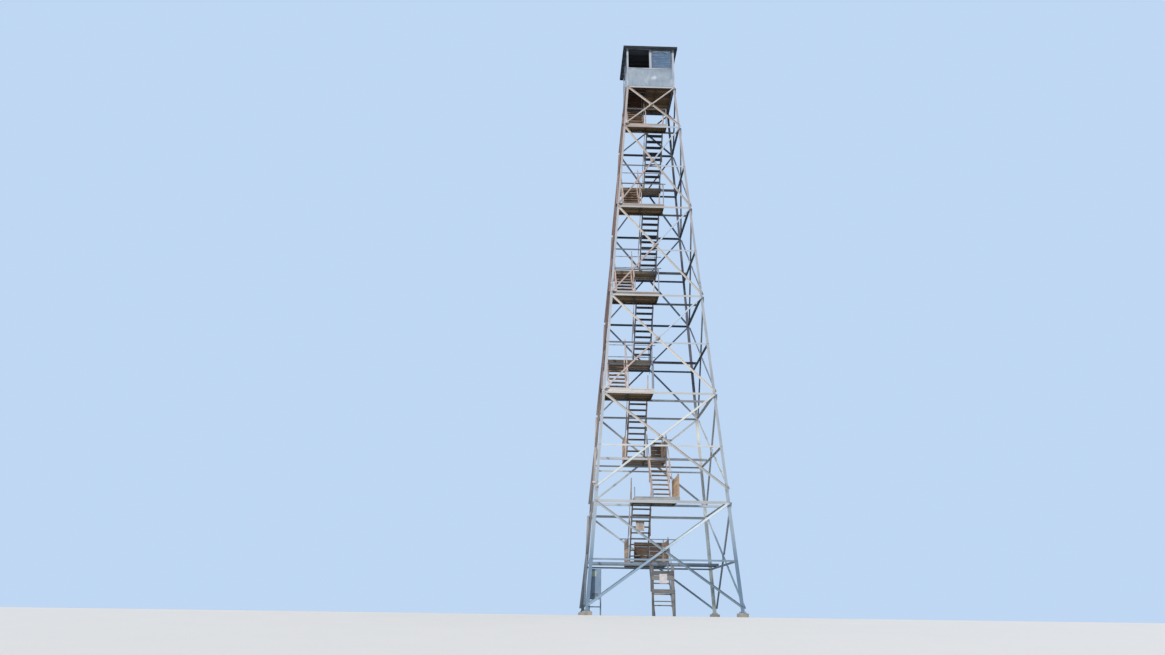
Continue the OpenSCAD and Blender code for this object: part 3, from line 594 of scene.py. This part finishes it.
def round_outline(radius, sides):
    turns = [math.tau * i / sides for i in range(sides)]
    return [(radius * math.cos(t), radius * math.sin(t)) for t in turns]


def tube(piece, start, end, radius, sides=12, material=0):
    """A round bar between two points."""
    along = Vector(end) - Vector(start)
    side, way = along.orthogonal().normalized(), along.normalized()
    outline = round_outline(radius, sides)
    prism(piece, outline, start, way, side, way.cross(side), along.length, material, True)


def bolt(piece, place, out, radius=0.01, material=1, washer=True):
    """A hexagon head on a washer, standing out of a face."""
    out = Vector(out).normalized()
    side = out.orthogonal().normalized()
    side = (Matrix.Rotation(rng.uniform(0, 1), 3, out) @ side).normalized()
    up = out.cross(side)
    thick = 0.0025
    rings = ((1.55, 0.0, thick, 10),) if washer else ()
    for wide, low, high, sides in (*rings, (1.0, thick, thick + radius * 0.75, 6)):
        outline = round_outline(radius * wide, sides)
        prism(piece, outline, Vector(place) + out * low, out, side, up, high - low, material)


def nail(piece, place, way, radius, tall, material):
    """A low six-sided head on an upright face."""
    side = Vector((0, 0, 1))
    prism(piece, round_outline(radius, 6), place, way, side, Vector(way).cross(side), tall, material)


def nail_corners(piece, low, high, inset_x, inset_z):
    """A nail at each corner of a board's front."""
    for x, z in product((low.x + inset_x, high.x - inset_x), (low.z + inset_z, high.z - inset_z)):
        bolt(piece, (x, low.y, z), (0, -1, 0), 0.005, 1, False)


# Feet, legs, girts and braces

# The rear and right faces take the darker bars: painted shade.
FACE_BAR = ("bar", "shaded_bar", "shaded_bar", "pink_bar")


def build_feet():
    """The blocks, chamfered at their tops, and the plates with their anchor bolts."""
    piers = Piece("piers", "concrete")
    chamfer = 0.018
    for _, low, high in sized("concrete_piers"):
        verts = []
        for inset, z in ((0.0, 0.0), (0.0, high.z - chamfer), (chamfer, high.z)):
            x0, x1, y0, y1 = low.x + inset, high.x - inset, low.y + inset, high.y - inset
            verts += [(x0, y0, z), (x1, y0, z), (x1, y1, z), (x0, y1, z)]
        piers.add(verts, lofted(4, 3))
    piers.build("concrete", "concrete_piers")
    plates = Piece("foot_plates_bolted", "plate", "bolt")
    inset = 0.032
    for solid, low, high in sized("foot_plates"):
        copy_solid(plates, solid)
        for x, y in product((low.x + inset, high.x - inset), (low.y + inset, high.y - inset)):
            bolt(plates, (x, y, high.z), (0, 0, 1), 0.014)
            tube(plates, (x, y, high.z + 0.01), (x, y, high.z + 0.045), 0.008, 8, 1)
    plates.build("plates", "foot_plates")


def leg_b_at(z):
    """The legs' flange at a height."""
    return LEG_B[sum(z >= splice - 0.001 for splice, _ in SPLICES)]


def brace_end(z):
    """Where a brace's end lies on a face at a height: along the face and up its slope."""
    v = up_face(z)
    return half_u(v) - leg_b_at(z) / 2, v


def panel_ends(p):
    """The heights of the ends of a panel's braces."""
    low = {0: FOOT_Z + BRACE_FOOT, 1: SPLICES[0][0]}.get(p, ring_z(2 * p) + BRACE_END)
    return low, (CAB_Z if p == PANELS - 1 else ring_z(2 * p + 2)) - BRACE_END


def build_legs():
    """The legs, with the bolts of their splices."""
    keys = {"front_right_leg": "leg", "rear_right_leg": "shaded_leg", "rear_left_leg": "pink_leg",
            "front_left_leg": "leg"}
    steps, shares = (-3, -2, -1, 1, 2, 3), (0.3, 0.74)
    for i, (name, key) in enumerate(keys.items()):
        piece = Piece(name + "_bolted", key, "bolt")
        for solid in solids(name):
            copy_solid(piece, solid, 0, 0.35 + 0.2 * (i % 2))
        sides = ((i, 1), (i + 1, -1))
        for (face, side), (z, b), step, share in product(sides, SPLICES, steps, shares):
            if abs(step) < 3 or share > 0.5:
                v = up_face(z) + step * SPLICE_L * 0.145
                place = on_face(face, side * (half_u(v) - b * share), v, 0)
                bolt(piece, place, face_normal(face), 0.011)
        piece.build("galvanised", name)


def build_girts():
    """The girts, with two bolts at each leg. The front's change their colour from ring to ring."""
    for i, name in enumerate(("front_girts", "right_girts", "rear_girts", "left_girts")):
        piece = Piece(name + "_bolted", FACE_BAR[i], "bolt", "split_bar", "pale_bar", "cab_bar")
        for solid in solids(name):
            z = float(solid[0][:, 2].mean())
            ring = min(range(1, RINGS + 1), key=lambda k: abs(ring_z(k) - z))
            # On the front, odd rings take split_bar and ring 10 pale_bar, whose left halves carry painted
            # shade above LOW_PART.
            key = {RINGS - 1: 3, RINGS: 4}.get(ring, 2 * (ring % 2)) if i == 0 else 0
            copy_solid(piece, solid, key)
        for k, side, share in product(range(1, RINGS + 1), (-1, 1), (0.3, 0.66)):
            v = up_face(ring_z(k)) - 0.03
            u = side * (half_u(v) - leg_b_at(ring_z(k) - 0.05) * share)
            bolt(piece, on_face(i, u, v, 0), face_normal(i))
        piece.build("galvanised", name)


def build_braces():
    """The plates and braces, bolted at their ends and where they cross."""
    build_copy("brace_plates_flat", "plate", "plates", "brace_plates")
    for i, name in enumerate(("front_braces", "right_braces", "rear_braces", "left_braces")):
        piece = Piece(name + "_bolted", FACE_BAR[i], "bolt", "pale_bar")
        for solid in solids(name):
            along = turned(4 - i, axis_of(solid[0]))
            rising = along.x * along.z > 0
            top = solid[0][:, 2].max()
            # tone 0 darkens the low front braces that fall to the right: painted shade. On the right face
            # tone 1 brightens the rising braces, painted light, and 0.1 darkens the others, painted shade.
            tone = {0: 0.0 if top < ring_z(3) and not rising else None, 1: 1.0 if rising else 0.1}.get(i)
            cool = i == 0 and rising and top < CAB_Z - HALF_RISE + 0.2
            copy_solid(piece, solid, 2 if cool else 0, tone)
        for p in range(PANELS):
            (u0, v0), (u1, v1) = (brace_end(z) for z in panel_ends(p))
            cross = v0 + (v1 - v0) * u0 / (u0 + u1)
            run = Vector((u0 + u1, v1 - v0)).normalized()
            for side in (-1, 1):
                ends = product(((-side * u0, v0, 1), (side * u1, v1, -1)), (-0.001, 0.045))
                spots = [(u, v, way * step, 0.01) for (u, v, way), step in ends]
                spots += [(0.0, cross, step, 0.009) for step in (-0.075, -0.05, 0.05, 0.075)]
                for u, v, step, radius in spots:
                    place = on_face(i, u + side * run.x * step, v + run.y * step, BRACE_T)
                    bolt(piece, place, face_normal(i), radius)
            bolt(piece, on_face(i, 0, cross, BRACE_T), face_normal(i))
        piece.build("galvanised", name)


def build_beams():
    """The cross beams, bolted on the side that faces the tower's axis."""
    piece = Piece("cross_beams_bolted", "beam", "bolt")
    for solid, low, high in sized("cross_beams"):
        copy_solid(piece, solid)
        face, way = (high.y, 1) if high.y < 0 else (low.y, -1)
        for x, z in product((low.x + 0.04, high.x - 0.04), (low.z + 0.03, high.z - 0.025)):
            bolt(piece, (x, face, z), (0, way, 0), 0.009)
    piece.build("galvanised", "cross_beams")


# Landings and stairs


def build_landings():
    """Planks with nails, a paler one at the outer edge of each landing, on joists with pale rims; the pale
    edges are weathering and painted light, blue-grey low down and darker high up, painted shade.
    """
    for name in ("front_landings", "rear_landings"):
        piece = Piece(name + "_planked", "deck", "bolt", "nose", "cool_nose")
        planks = sized(name)
        edges = {}
        for _, low, high in planks:
            level, reach = round(low.z, 2), max(abs(low.y), abs(high.y))
            edges[level] = max(edges.get(level, 0.0), reach)
        for _, low, high in planks:
            outer = max(abs(low.y), abs(high.y)) > edges[round(low.z, 2)] - 0.01
            # The outer plank takes the pale edge wood, weathering and painted light, and below ring 3 the
            # blue-grey one, painted shade; its tone falls with height: painted shade.
            key = 0 if not outer else 3 if low.z < ring_z(3) else 2
            board(piece, low, high, key, 1.1 - low.z / CAB_Z if outer else None, trim=0.012, bow=0.005)
            middle, top = (low.x + high.x) / 2, high.z
            for x, y in product((low.x + 0.02, middle, high.x - 0.02), (low.y + 0.03, high.y - 0.03)):
                block(piece, (x - 0.004, y - 0.004, top - 0.001), (x + 0.004, y + 0.004, top), 1)
        piece.build("plank", name)
    joists = Piece("landing_joists_sawn", "joist", "high_nose", "nose", "cool_nose")
    for _, low, high in sized("landing_joists"):
        rim = high.x - low.x > 0.5 and high.y - low.y < 0.05
        # Rims: blue-grey below ring 3, painted shade; pale up to LOW_PART, weathering and painted light;
        # darker above, painted shade.
        key = 0 if not rim else 3 if low.z < ring_z(3) else 2 if low.z < LOW_PART[1] else 1
        board(joists, low, high, key, edge=0.003)
    joists.build("plank", "landing_joists")


def build_stairs():
    """Stringers, and treads of two boards on cleats. The even flights climb in the shade: their darker
    steel and treads are painted shade, less dark below LOW_PART.
    """
    gap = 0.003
    for n in range(1, RINGS + 1):
        node = f"stair_flight_{n}"
        steel_key, wood_key = ("stringer", "tread") if n % 2 else ("channel", "dark_tread")
        if wood_key == "dark_tread" and ring_z(n) < LOW_PART[1]:
            wood_key = "low_tread"
        piece = Piece(node + "_dressed", steel_key, wood_key, "bolt")
        treads = []
        for solid, low, high in sized(node):
            if high.z - low.z < 0.06:
                treads.append((low, high))
            else:
                copy_solid(piece, solid, 0, 0.4 + 0.3 * (n % 2))
        for low, high in treads:
            middle = (low.y + high.y) / 2
            board(piece, low, (high.x, middle - gap, high.z), 1, trim=0.002, bow=0.003)
            board(piece, (low.x, middle + gap, low.z), high, 1, trim=0.002, bow=0.003)
            for x, way in ((low.x, 1), (high.x, -1)):
                cleat(piece, x, way, low, high)
        piece.build("stair", node)


def cleat(piece, x, way, low, high):
    """The small angle under a tread's end, bolted to the stringer."""
    inset, wide, t = 0.022, 0.034, 0.004
    y0, y1 = low.y + inset, high.y - inset
    top = low.z - 0.0002
    for reach, z0, z1 in ((wide, top - t, top), (t, top - wide, top - t)):
        x0, x1 = sorted((x, x + way * reach))
        block(piece, (x0, y0, z0), (x1, y1, z1))
    for y in (y0 + 0.025, y1 - 0.025):
        bolt(piece, (x + way * t, y, top - wide * 0.55), (way, 0, 0), 0.006, 2, False)


def build_rails():
    """Handrails of pipe on posts of angle iron, which open to either side."""
    piece = Piece("stair_handrails_piped", "rail", "bolt")
    t = 0.005
    for (points, _), low, high in sized("stair_handrails"):
        size = high - low
        if max(size.x, size.y) < 0.05:
            x, side = rng.choice(((high.x, -1), (low.x, 1)))
            b = size.x
            outline = [(0, 0), (b, 0), (b, t), (t, t), (t, b), (0, b)]
            prism(piece, outline, (x, low.y, low.z), (0, 0, 1), (side, 0, 0), (0, 1, 0), size.z)
            bolt(piece, (low.x + size.x / 2, low.y + size.y / 2, high.z - 0.06), (0, -1, 0), 0.007)
        else:
            a, middle = axis_of(points), points.mean(0)
            reach = max(abs(Vector(p - middle).dot(a)) for p in points)
            middle = Vector(middle)
            tube(piece, middle - a * reach, middle + a * reach, 0.0155, 14)
    piece.build("galvanised", "stair_handrails")


def build_guards():
    """Guard rails, board guards and the timber frame round the lowest flight."""
    piece = Piece("guard_rails_angled", "guard_rail", "bolt")
    for solid, low, high in sized("guard_rails"):
        copy_solid(piece, solid)
        if high.x - low.x > 0.5:
            for x in (low.x + 0.04, high.x - 0.04):
                bolt(piece, (x, low.y, high.z - 0.02), (0, -1, 0), 0.006)
    piece.build("galvanised", "guard_rails")
    boards = Piece("guard_boards_nailed", "guard", "bolt", "dark_guard")
    for _, low, high in sized("guard_boards"):
        # Boards that run across x take the darker planks: painted shade.
        across = high.x - low.x > 0.2
        board(boards, low, high, 2 if across else 0, trim=0.01, bow=0.004)
        if across:
            nail_corners(boards, low, high, 0.05, 0.04)
    boards.build("board", "guard_boards")
    entrance = Piece("entrance_frame_nailed", "grey_wood", "bolt")
    for _, low, high in sized("entrance_frame"):
        board(entrance, low, high, edge=0.006, bow=0.003)
        if high.x - low.x > 0.5 and high.y - low.y < 0.03:
            nail_corners(entrance, low, high, 0.04, 0.03)
    entrance.build("board", "entrance_frame")


# Cab


def build_cab_floor():
    """Joists, and boards that stop at the hatch."""
    piece = Piece("cab_floor_boards", "cab_wood", "cab_joist")
    rim = 0.01
    for (points, _), low, high in sized("cab_floor"):
        if len(points) <= 8:
            board(piece, low, high, 1, edge=0.003)
            continue
        inner = [p for p in points if all(low[i] + rim < p[i] < high[i] - rim for i in (0, 1))]
        h0, h1 = limits(np.array(inner))
        for y0, y1 in board_rows(low, high, 15, 0.004):
            if y1 <= h0.y or y0 >= h1.y:
                board(piece, (low.x, y0, low.z), (high.x, y1, high.z), bow=0.003)
            else:
                board(piece, (low.x, y0, low.z), (h0.x, y1, high.z))
                board(piece, (h1.x, y0, low.z), (high.x, y1, high.z), bow=0.003)
    piece.build("plank", "cab_floor")


class Wall:
    """A flat part of the cab's side: run is its length axis, out its outward one, sign the way out."""

    def __init__(self, piece, low, high):
        self.piece = piece
        size = high - low
        self.run = 0 if size.x > size.y else 1
        self.out = 1 - self.run
        self.sign = 1 if low[self.out] + high[self.out] > 0 else -1
        self.start, self.end = low[self.run], high[self.run]
        self.inner, self.outer = sorted((low[self.out], high[self.out]), key=lambda x: x * self.sign)

    def point(self, along, across, z):
        p = [0.0, 0.0, z]
        p[self.run], p[self.out] = along, across
        return p

    def faced(self, faces):
        """Turns faces outward."""
        return faces if (self.sign > 0) == (self.run == 1) else flipped(faces)

    def strip(self, a, b, z0, z1, near, far, material):
        near, far = sorted((near, far))
        block(self.piece, self.point(a, near, z0), self.point(b, far, z1), material)

    def plank(self, z0, z1, near, far, material, edge):
        near, far = sorted((near, far))
        low, high = self.point(self.start, near, z0), self.point(self.end, far, z1)
        board(self.piece, low, high, material, edge=edge)

    def nail(self, along, z):
        """A nail head just inside the outer face."""
        tall = 0.0008
        place = self.point(along, self.outer - self.sign * tall, z)
        nail(self.piece, place, self.point(0, self.sign, 0), 0.006, tall, 3)

    def slat(self, a0, a1, near, far, z, tall, material):
        """One slat of a blind, leaning out at its foot and lapping the next one."""
        thick = self.sign * 0.0025
        ends = ((near, z), (near - thick, z), (far, z + tall), (far + thick, z + tall))
        verts = [self.point(a, *end) for a in (a0, a1) for end in ends]
        self.piece.add(verts, self.faced(lofted(4, 2)), material, unit(self.run))

    def dented(self, a0, a1, z0, z1, face, depth):
        """A sheet as a grid that is pressed in a little between its fixings, closed at the back."""
        cols, rows, thick = 34, 16, 0.0003
        seed = Vector([rng.uniform(0, 9) for _ in range(3)])
        verts = []
        for r, c in product(range(rows + 1), range(cols + 1)):
            a, z = a0 + (a1 - a0) * c / cols, z0 + (z1 - z0) * r / rows
            rim = min(1.0, 6 * min(r, rows - r) / rows, 8 * min(c, cols - c) / cols)
            press = noise.noise(Vector(self.point(a, 0.0, z)) * 2.2 + seed) * 0.5 + 0.5
            verts.append(self.point(a, face - self.sign * depth * rim * press, z))
        back, wide, last = len(verts), cols + 1, rows * (cols + 1)
        verts += [self.point(p[self.run], p[self.out] - self.sign * thick, p[2]) for p in verts]
        faces = []
        for r, c in product(range(rows), range(cols)):
            i = r * wide + c
            quad = [i, i + 1, i + wide + 1, i + wide]
            faces += [quad, [back + j for j in quad[::-1]]]
        edge = [*range(cols), *range(cols, last + cols, wide)]
        edge += [*range(last + cols, last, -1), *range(last, 0, -wide)]
        faces += [[j, i, back + i, back + j] for i, j in zip(edge, edge[1:] + edge[:1])]
        self.piece.add(verts, self.faced(faces), 0, unit(self.run), None, len(faces))

    def panel(self, z0, z1):
        """Two dented sheets outside, lapped and nailed, and boards inside."""
        sheets, lap, skin = 2, 0.03, 0.0045
        length = (self.end - self.start) / sheets
        joints = [self.start + i * length for i in range(sheets + 1)]
        for a0, a1 in zip(joints, joints[1:]):
            self.dented(a0, a1, z0, z1, self.outer - self.sign * 0.0035, 0.01)
        for joint in joints:
            a, b = max(self.start, joint - lap / 2), min(self.end, joint + lap / 2)
            self.strip(a, b, z0, z1, self.outer, self.outer - self.sign * skin, 0)
            for z in spread(z0, z1, 9):
                self.nail((a + b) / 2, z)
        for low, high in ((z0, z0 + lap), (z1 - lap, z1)):
            near, far = self.outer - self.sign * 0.0004, self.outer - self.sign * skin
            self.strip(self.start, self.end, low, high, near, far, 0)
            for along in spread(self.start, self.end, 18):
                self.nail(along, (low + high) / 2)
        rows, gap = 7, 0.003
        pitch = (z1 - z0) / rows
        for r in range(rows):
            low, high = z0 + r * pitch, z0 + (r + 1) * pitch - gap
            self.plank(low, high, self.outer - self.sign * 0.014, self.inner, 1, 0.002)


def build_cab_walls():
    """The lower walls with their sill rails, and the head rails, white outside and brown inside."""
    rail, skin = 0.045, 0.013
    for node in ("cab_front_wall", "cab_side_walls", "cab_rear_wall"):
        piece = Piece(node + "_sheeted", "sheet", "inside", "frame", "bolt")
        for _, low, high in sized(node):
            wall = Wall(piece, low, high)
            foot = low.z
            if high.z - low.z > 0.2:
                foot = high.z - rail
                wall.panel(low.z, foot)
            middle = wall.outer - wall.sign * skin
            wall.plank(foot, high.z, wall.outer, middle, 2, 0.003)
            wall.plank(foot, high.z, middle, wall.inner, 1, 0.002)
        piece.build("cab_sheet", node)


def build_cab_posts():
    """The posts between the windows, and the corner posts with nails down both faces."""
    piece = Piece("cab_posts_trimmed", "frame", "bolt")
    for solid, low, high in sized("cab_posts"):
        if len(solid[0]) == 8:
            board(piece, low, high, edge=0.003)
            continue
        copy_solid(piece, solid)
        for z, axis in product(spread(low.z, high.z, 8), (0, 1)):
            sign = 1.0 if low[axis] + high[axis] > 0 else -1.0
            place = [(low.x + high.x) / 2, (low.y + high.y) / 2, z]
            place[axis] = (high if sign > 0 else low)[axis] - sign * 0.003
            nail(piece, place, unit(axis) * sign, 0.007, 0.003, 1)
    piece.build("cab_sheet", "cab_posts")


def build_windows():
    """Sashes, glass, and behind each pane a lowered blind with a pale head."""
    frames = Piece("window_sashes", "sash", "pale", "blind", "bolt", "blind_shade", "inside")
    rim, head, slat_pitch = 0.042, 0.11, 0.084
    for solid, low, high in sized("window_frames"):
        copy_solid(frames, solid)
        wall = Wall(frames, low, high)
        inner, sign = wall.inner, wall.sign
        a0, a1 = wall.start + rim + 0.002, wall.end - rim - 0.002
        z0, z1 = low.z + rim, high.z - rim
        near, far = inner + sign * 0.0085, inner + sign * 0.0015
        wall.strip(a0, a1, z1 - head, z1 - 0.004, near, far, 1)
        count = round((z1 - head - z0) / slat_pitch)
        pitch = (z1 - head - z0) / count
        # Each pitch holds a pale slat and above it a darker one: painted shade.
        for row, (share, tall, material) in product(range(count), ((0.0, 0.5, 2), (0.48, 0.52, 4))):
            wall.slat(a0, a1, near, far, z0 + row * pitch + pitch * share, pitch * tall, material)
        wall.strip(a0, a1, z0, z1, inner + sign * 0.0012, inner + sign * 0.0004, 5)
        corner = max((wall.start, wall.end), key=abs)
        a, b = sorted((corner, math.copysign(CORNER_POST - 0.0005, corner)))
        wall.strip(a, b, low.z, high.z, wall.outer, inner, 0)
        heights = (low.z + rim / 2, (low.z + high.z) / 2, high.z - rim / 2)
        for along, z in product((wall.start + rim / 2, wall.end - rim / 2), heights):
            wall.nail(along, z)
    frames.build("galvanised", "window_frames")
    build_copy("window_panes", "glass", "glass", "window_glass")


def build_roof():
    """Four sheet slopes with standing seams and ridge caps, an eaves board a side, and the soffit."""
    low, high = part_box("cab_roof")
    half, peak, cap = high.x, high.z, 0.06
    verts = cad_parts["cab_roof"].data.vertices
    eaves = max(round(v.co.z, 4) for v in verts if abs(v.co.x) > half - 0.001)
    skin, seams, seam_x, seam_h = 0.004, 6, 0.01, 0.012
    slope = (peak - eaves) / (half - cap)
    foot, top = eaves - seam_h - 0.001, peak - seam_h - 0.001
    seam = ((-seam_x, 0), (seam_x, 0), (seam_x, seam_h * 0.9), (-seam_x, seam_h * 0.9))
    ridge = [(-0.026, -0.008), (0, 0.004), (0.026, -0.008), (0.03, -0.004), (0, 0.01), (-0.03, -0.004)]
    ridge_start, board_w, lap = 0.045, 0.018, 0.004
    piece = Piece("roof_dressed", "roof", "fascia")
    faces = flipped(lofted(4, 2))
    for i in range(4):
        corners = (-half, -half, foot), (half, -half, foot), (cap, -cap, top), (-cap, -cap, top)
        slab = [turned(i, p) for p in corners]
        up_slope, level = turned(i, (0, 1, 0)), turned(i, (1, 0, 0))
        piece.add(slab + [v - Vector((0, 0, skin)) for v in slab], faces, 0, up_slope)
        for s in range(-seams // 2 + 1, seams // 2):
            x = s * 2 * half / seams
            reach = half - max(abs(x), cap)
            ends = ((-half, foot), (-half + reach, foot + slope * reach))
            verts = [turned(i, (x + dx, y, z + dz)) for (y, z), (dx, dz) in product(ends, seam)]
            piece.add(verts, faces, 0, up_slope)
        rise = slab[3] - slab[0]
        along = rise.normalized()
        side = rise.cross(Vector((0, 0, 1))).normalized()
        start, length = slab[0] + along * ridge_start, rise.length - ridge_start
        prism(piece, ridge, start, along, side, side.cross(along), length)
        tall = foot - low.z
        for z0, z1, inset in ((low.z, low.z + tall * 0.72, lap), (low.z + tall * 0.66, foot - 0.0005, 0.0)):
            xs = (-half + inset, half - board_w + inset - 0.0003)
            ys = (-half + inset, -half + board_w)
            verts = [turned(i, (x, y, z)) for z, y, x in product((z0, z1), ys, xs)]
            piece.add(verts, BOX_FACES, 1, level)
    block(piece, (-cap, -cap, top - 0.02), (cap, cap, peak - 0.002))
    piece.build("roof_sheet", "cab_roof")
    soffit = Piece("soffit_boards", "ceiling")
    low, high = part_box("cab_ceiling")
    for y0, y1 in board_rows(low, high, 16, 0.003):
        board(soffit, (low.x, y0, low.z), (high.x, y1, high.z), edge=0.002)
    soffit.build("board", "cab_ceiling")


# Cabinet and plates


def build_cabinet():
    """The box with its lid, door, hinges, lock and vents, on its stand."""
    piece = Piece("equipment_cabinet_dressed", "cabinet", "plate", "bolt", "dark")
    parts = solids("equipment_cabinet")
    body = max(parts, key=lambda s: s[0][:, 2].max())
    low, high = limits(body[0])
    x0, x1, front = low.x, high.x, low.y
    block(piece, (x0 + 0.004, front + 0.008, low.z), (x1 - 0.004, high.y, high.z - 0.012), 0, 0.5)
    board(piece, (x0, front, high.z - 0.014), high, 0, 0.5)
    door_low = (x0 + 0.022, front + 0.002, low.z + 0.025)
    door_high = (x1 - 0.022, front + 0.008, high.z - 0.035)
    board(piece, door_low, door_high, 0, 0.6, edge=0.0015)
    for share in (0.18, 0.5, 0.82):
        z = low.z + (high.z - low.z) * share
        hinge = (x0 + 0.016, front + 0.006)
        tube(piece, (*hinge, z - 0.035), (*hinge, z + 0.035), 0.006, 8, 1)
    block(piece, (x1 - 0.06, front + 0.0005, low.z + 0.46), (x1 - 0.04, front + 0.003, low.z + 0.58), 1)
    # The vents are dark strips on the door: painted shade in their slots.
    for i in range(5):
        z = low.z + 0.1 + i * 0.022
        block(piece, (x0 + 0.1, front + 0.0012, z), (x1 - 0.1, front + 0.003, z + 0.009), 3)
    for solid in parts:
        if solid[0][:, 2].max() < low.z + 0.012:
            copy_solid(piece, solid, 1)
    piece.build("cabinet", "equipment_cabinet")


def build_signs():
    """Bare plates with a raised rim and a screw at each corner, and the bracket on the leg."""
    piece = Piece("plates_screwed", "sign", "cream", "bolt", "label")
    t, rim, inset, head = 0.0012, 0.012, 0.022, 0.004
    for solid, low, high in sized("sign_plates"):
        size = high - low
        if size.y > 0.02:
            copy_solid(piece, solid)
            continue
        key = 1 if low.z > 2.5 else (3 if size.x < 0.2 else 0)
        y = low.y
        block(piece, (low.x, y + t, low.z), high, key)
        z0, z1 = low.z + rim, high.z - rim
        for a0, b0, a1, b1 in ((low.x, low.z, high.x, z0), (low.x, z1, high.x, high.z),
                               (low.x, z0, low.x + rim, z1), (high.x - rim, z0, high.x, z1)):
            block(piece, (a0, y + 0.0004, b0), (a1, y + t, b1), key)
        for x, z in product((low.x + inset, high.x - inset), (low.z + inset, high.z - inset)):
            block(piece, (x - head, y, z - head), (x + head, y + t, z + head), 2)
    piece.build("sign", "sign_plates")


# Stage, lights and camera


def build_stage():
    """A pale floor, level under the tower, which falls away in front of it."""
    crest, fall, reach = -3.4, 0.075, 90.0
    rows = ((-reach, -fall * (reach + crest)), (crest, 0.0), (reach, 0.0))
    mesh = bpy.data.meshes.new("floor")
    verts = [(x, y, z) for y, z in rows for x in (-reach, reach)]
    mesh.from_pydata(verts, [], [[0, 1, 3, 2], [2, 3, 5, 4]])
    s = Shader("floor")
    pale = s.mix(s.noise(s.place(), 0.7), (0.76, 0.77, 0.78), (0.8, 0.81, 0.82))
    mesh.materials.append(s.give(Base_Color=s.mix(s.seen(), (0.3, 0.29, 0.27), pale), Roughness=0.9))
    floor = new_object("floor", mesh)


def build_world():
    """Soft light on the object, and a pale blue back for the camera, mirrors and glass."""
    world = bpy.data.worlds.new("studio")
    bpy.context.scene.world = world
    world.use_nodes = True
    w = Nodes(world.node_tree)
    w.tree.nodes.clear()
    light = w.fed("Background", {0: (0.82, 0.89, 1.0), 1: 0.42})
    back = w.fed("Background", {0: (0.52, 0.68, 0.9), 1: 1.0})
    out = w.node("OutputWorld")
    w.feed(out.inputs[0], w.fed("MixShader", {0: w.seen(), 1: light, 2: back}))


def build_lights():
    for name, direction, strength, spread_angle, colour in (
        ("key", (0.55, 0.65, -0.5), 3.0, 5.0, (1.0, 0.94, 0.86)),
        ("fill", (-0.7, -0.5, -0.35), 0.6, 60.0, (0.88, 0.93, 1.0)),
    ):
        data = bpy.data.lights.new(name, "SUN")
        data.energy = strength
        data.angle = math.radians(spread_angle)
        data.color = colour
        turn = Vector(direction).to_track_quat("-Z", "Y")
        new_object(name, data).rotation_euler = turn.to_euler()


def build_camera():
    """The photograph's camera, from a fit of the tower's lines in a 1165 by 655 picture."""
    focal_px, width_px, sensor = 829.5, 1165.0, 36.0
    yaw, pitch, roll = (math.radians(a) for a in (1.403, 19.407, 0.799))
    data = bpy.data.cameras.new("camera")
    data.sensor_width = sensor
    data.lens = focal_px * sensor / width_px
    data.clip_end = 400
    camera = new_object("camera", data)
    bpy.context.scene.camera = camera
    ahead = Vector((math.sin(yaw) * math.cos(pitch), math.cos(yaw) * math.cos(pitch), math.sin(pitch)))
    level = Vector((math.cos(yaw), -math.sin(yaw), 0))
    upright = level.cross(ahead)
    right = math.cos(roll) * level + math.sin(roll) * upright
    top = -math.sin(roll) * level + math.cos(roll) * upright
    place = Matrix((right, top, -ahead)).transposed().to_4x4()
    place.translation = Vector((-3.656, -32.257, -0.146))
    camera.matrix_world = place


for build in (build_feet, build_legs, build_girts, build_braces, build_beams, build_landings,
              build_stairs, build_rails, build_guards, build_cab_floor, build_cab_walls,
              build_cab_posts, build_windows, build_roof, build_cabinet, build_signs, build_stage,
              build_world, build_lights, build_camera):
    build()
bpy.context.scene.view_settings.view_transform = "Standard"
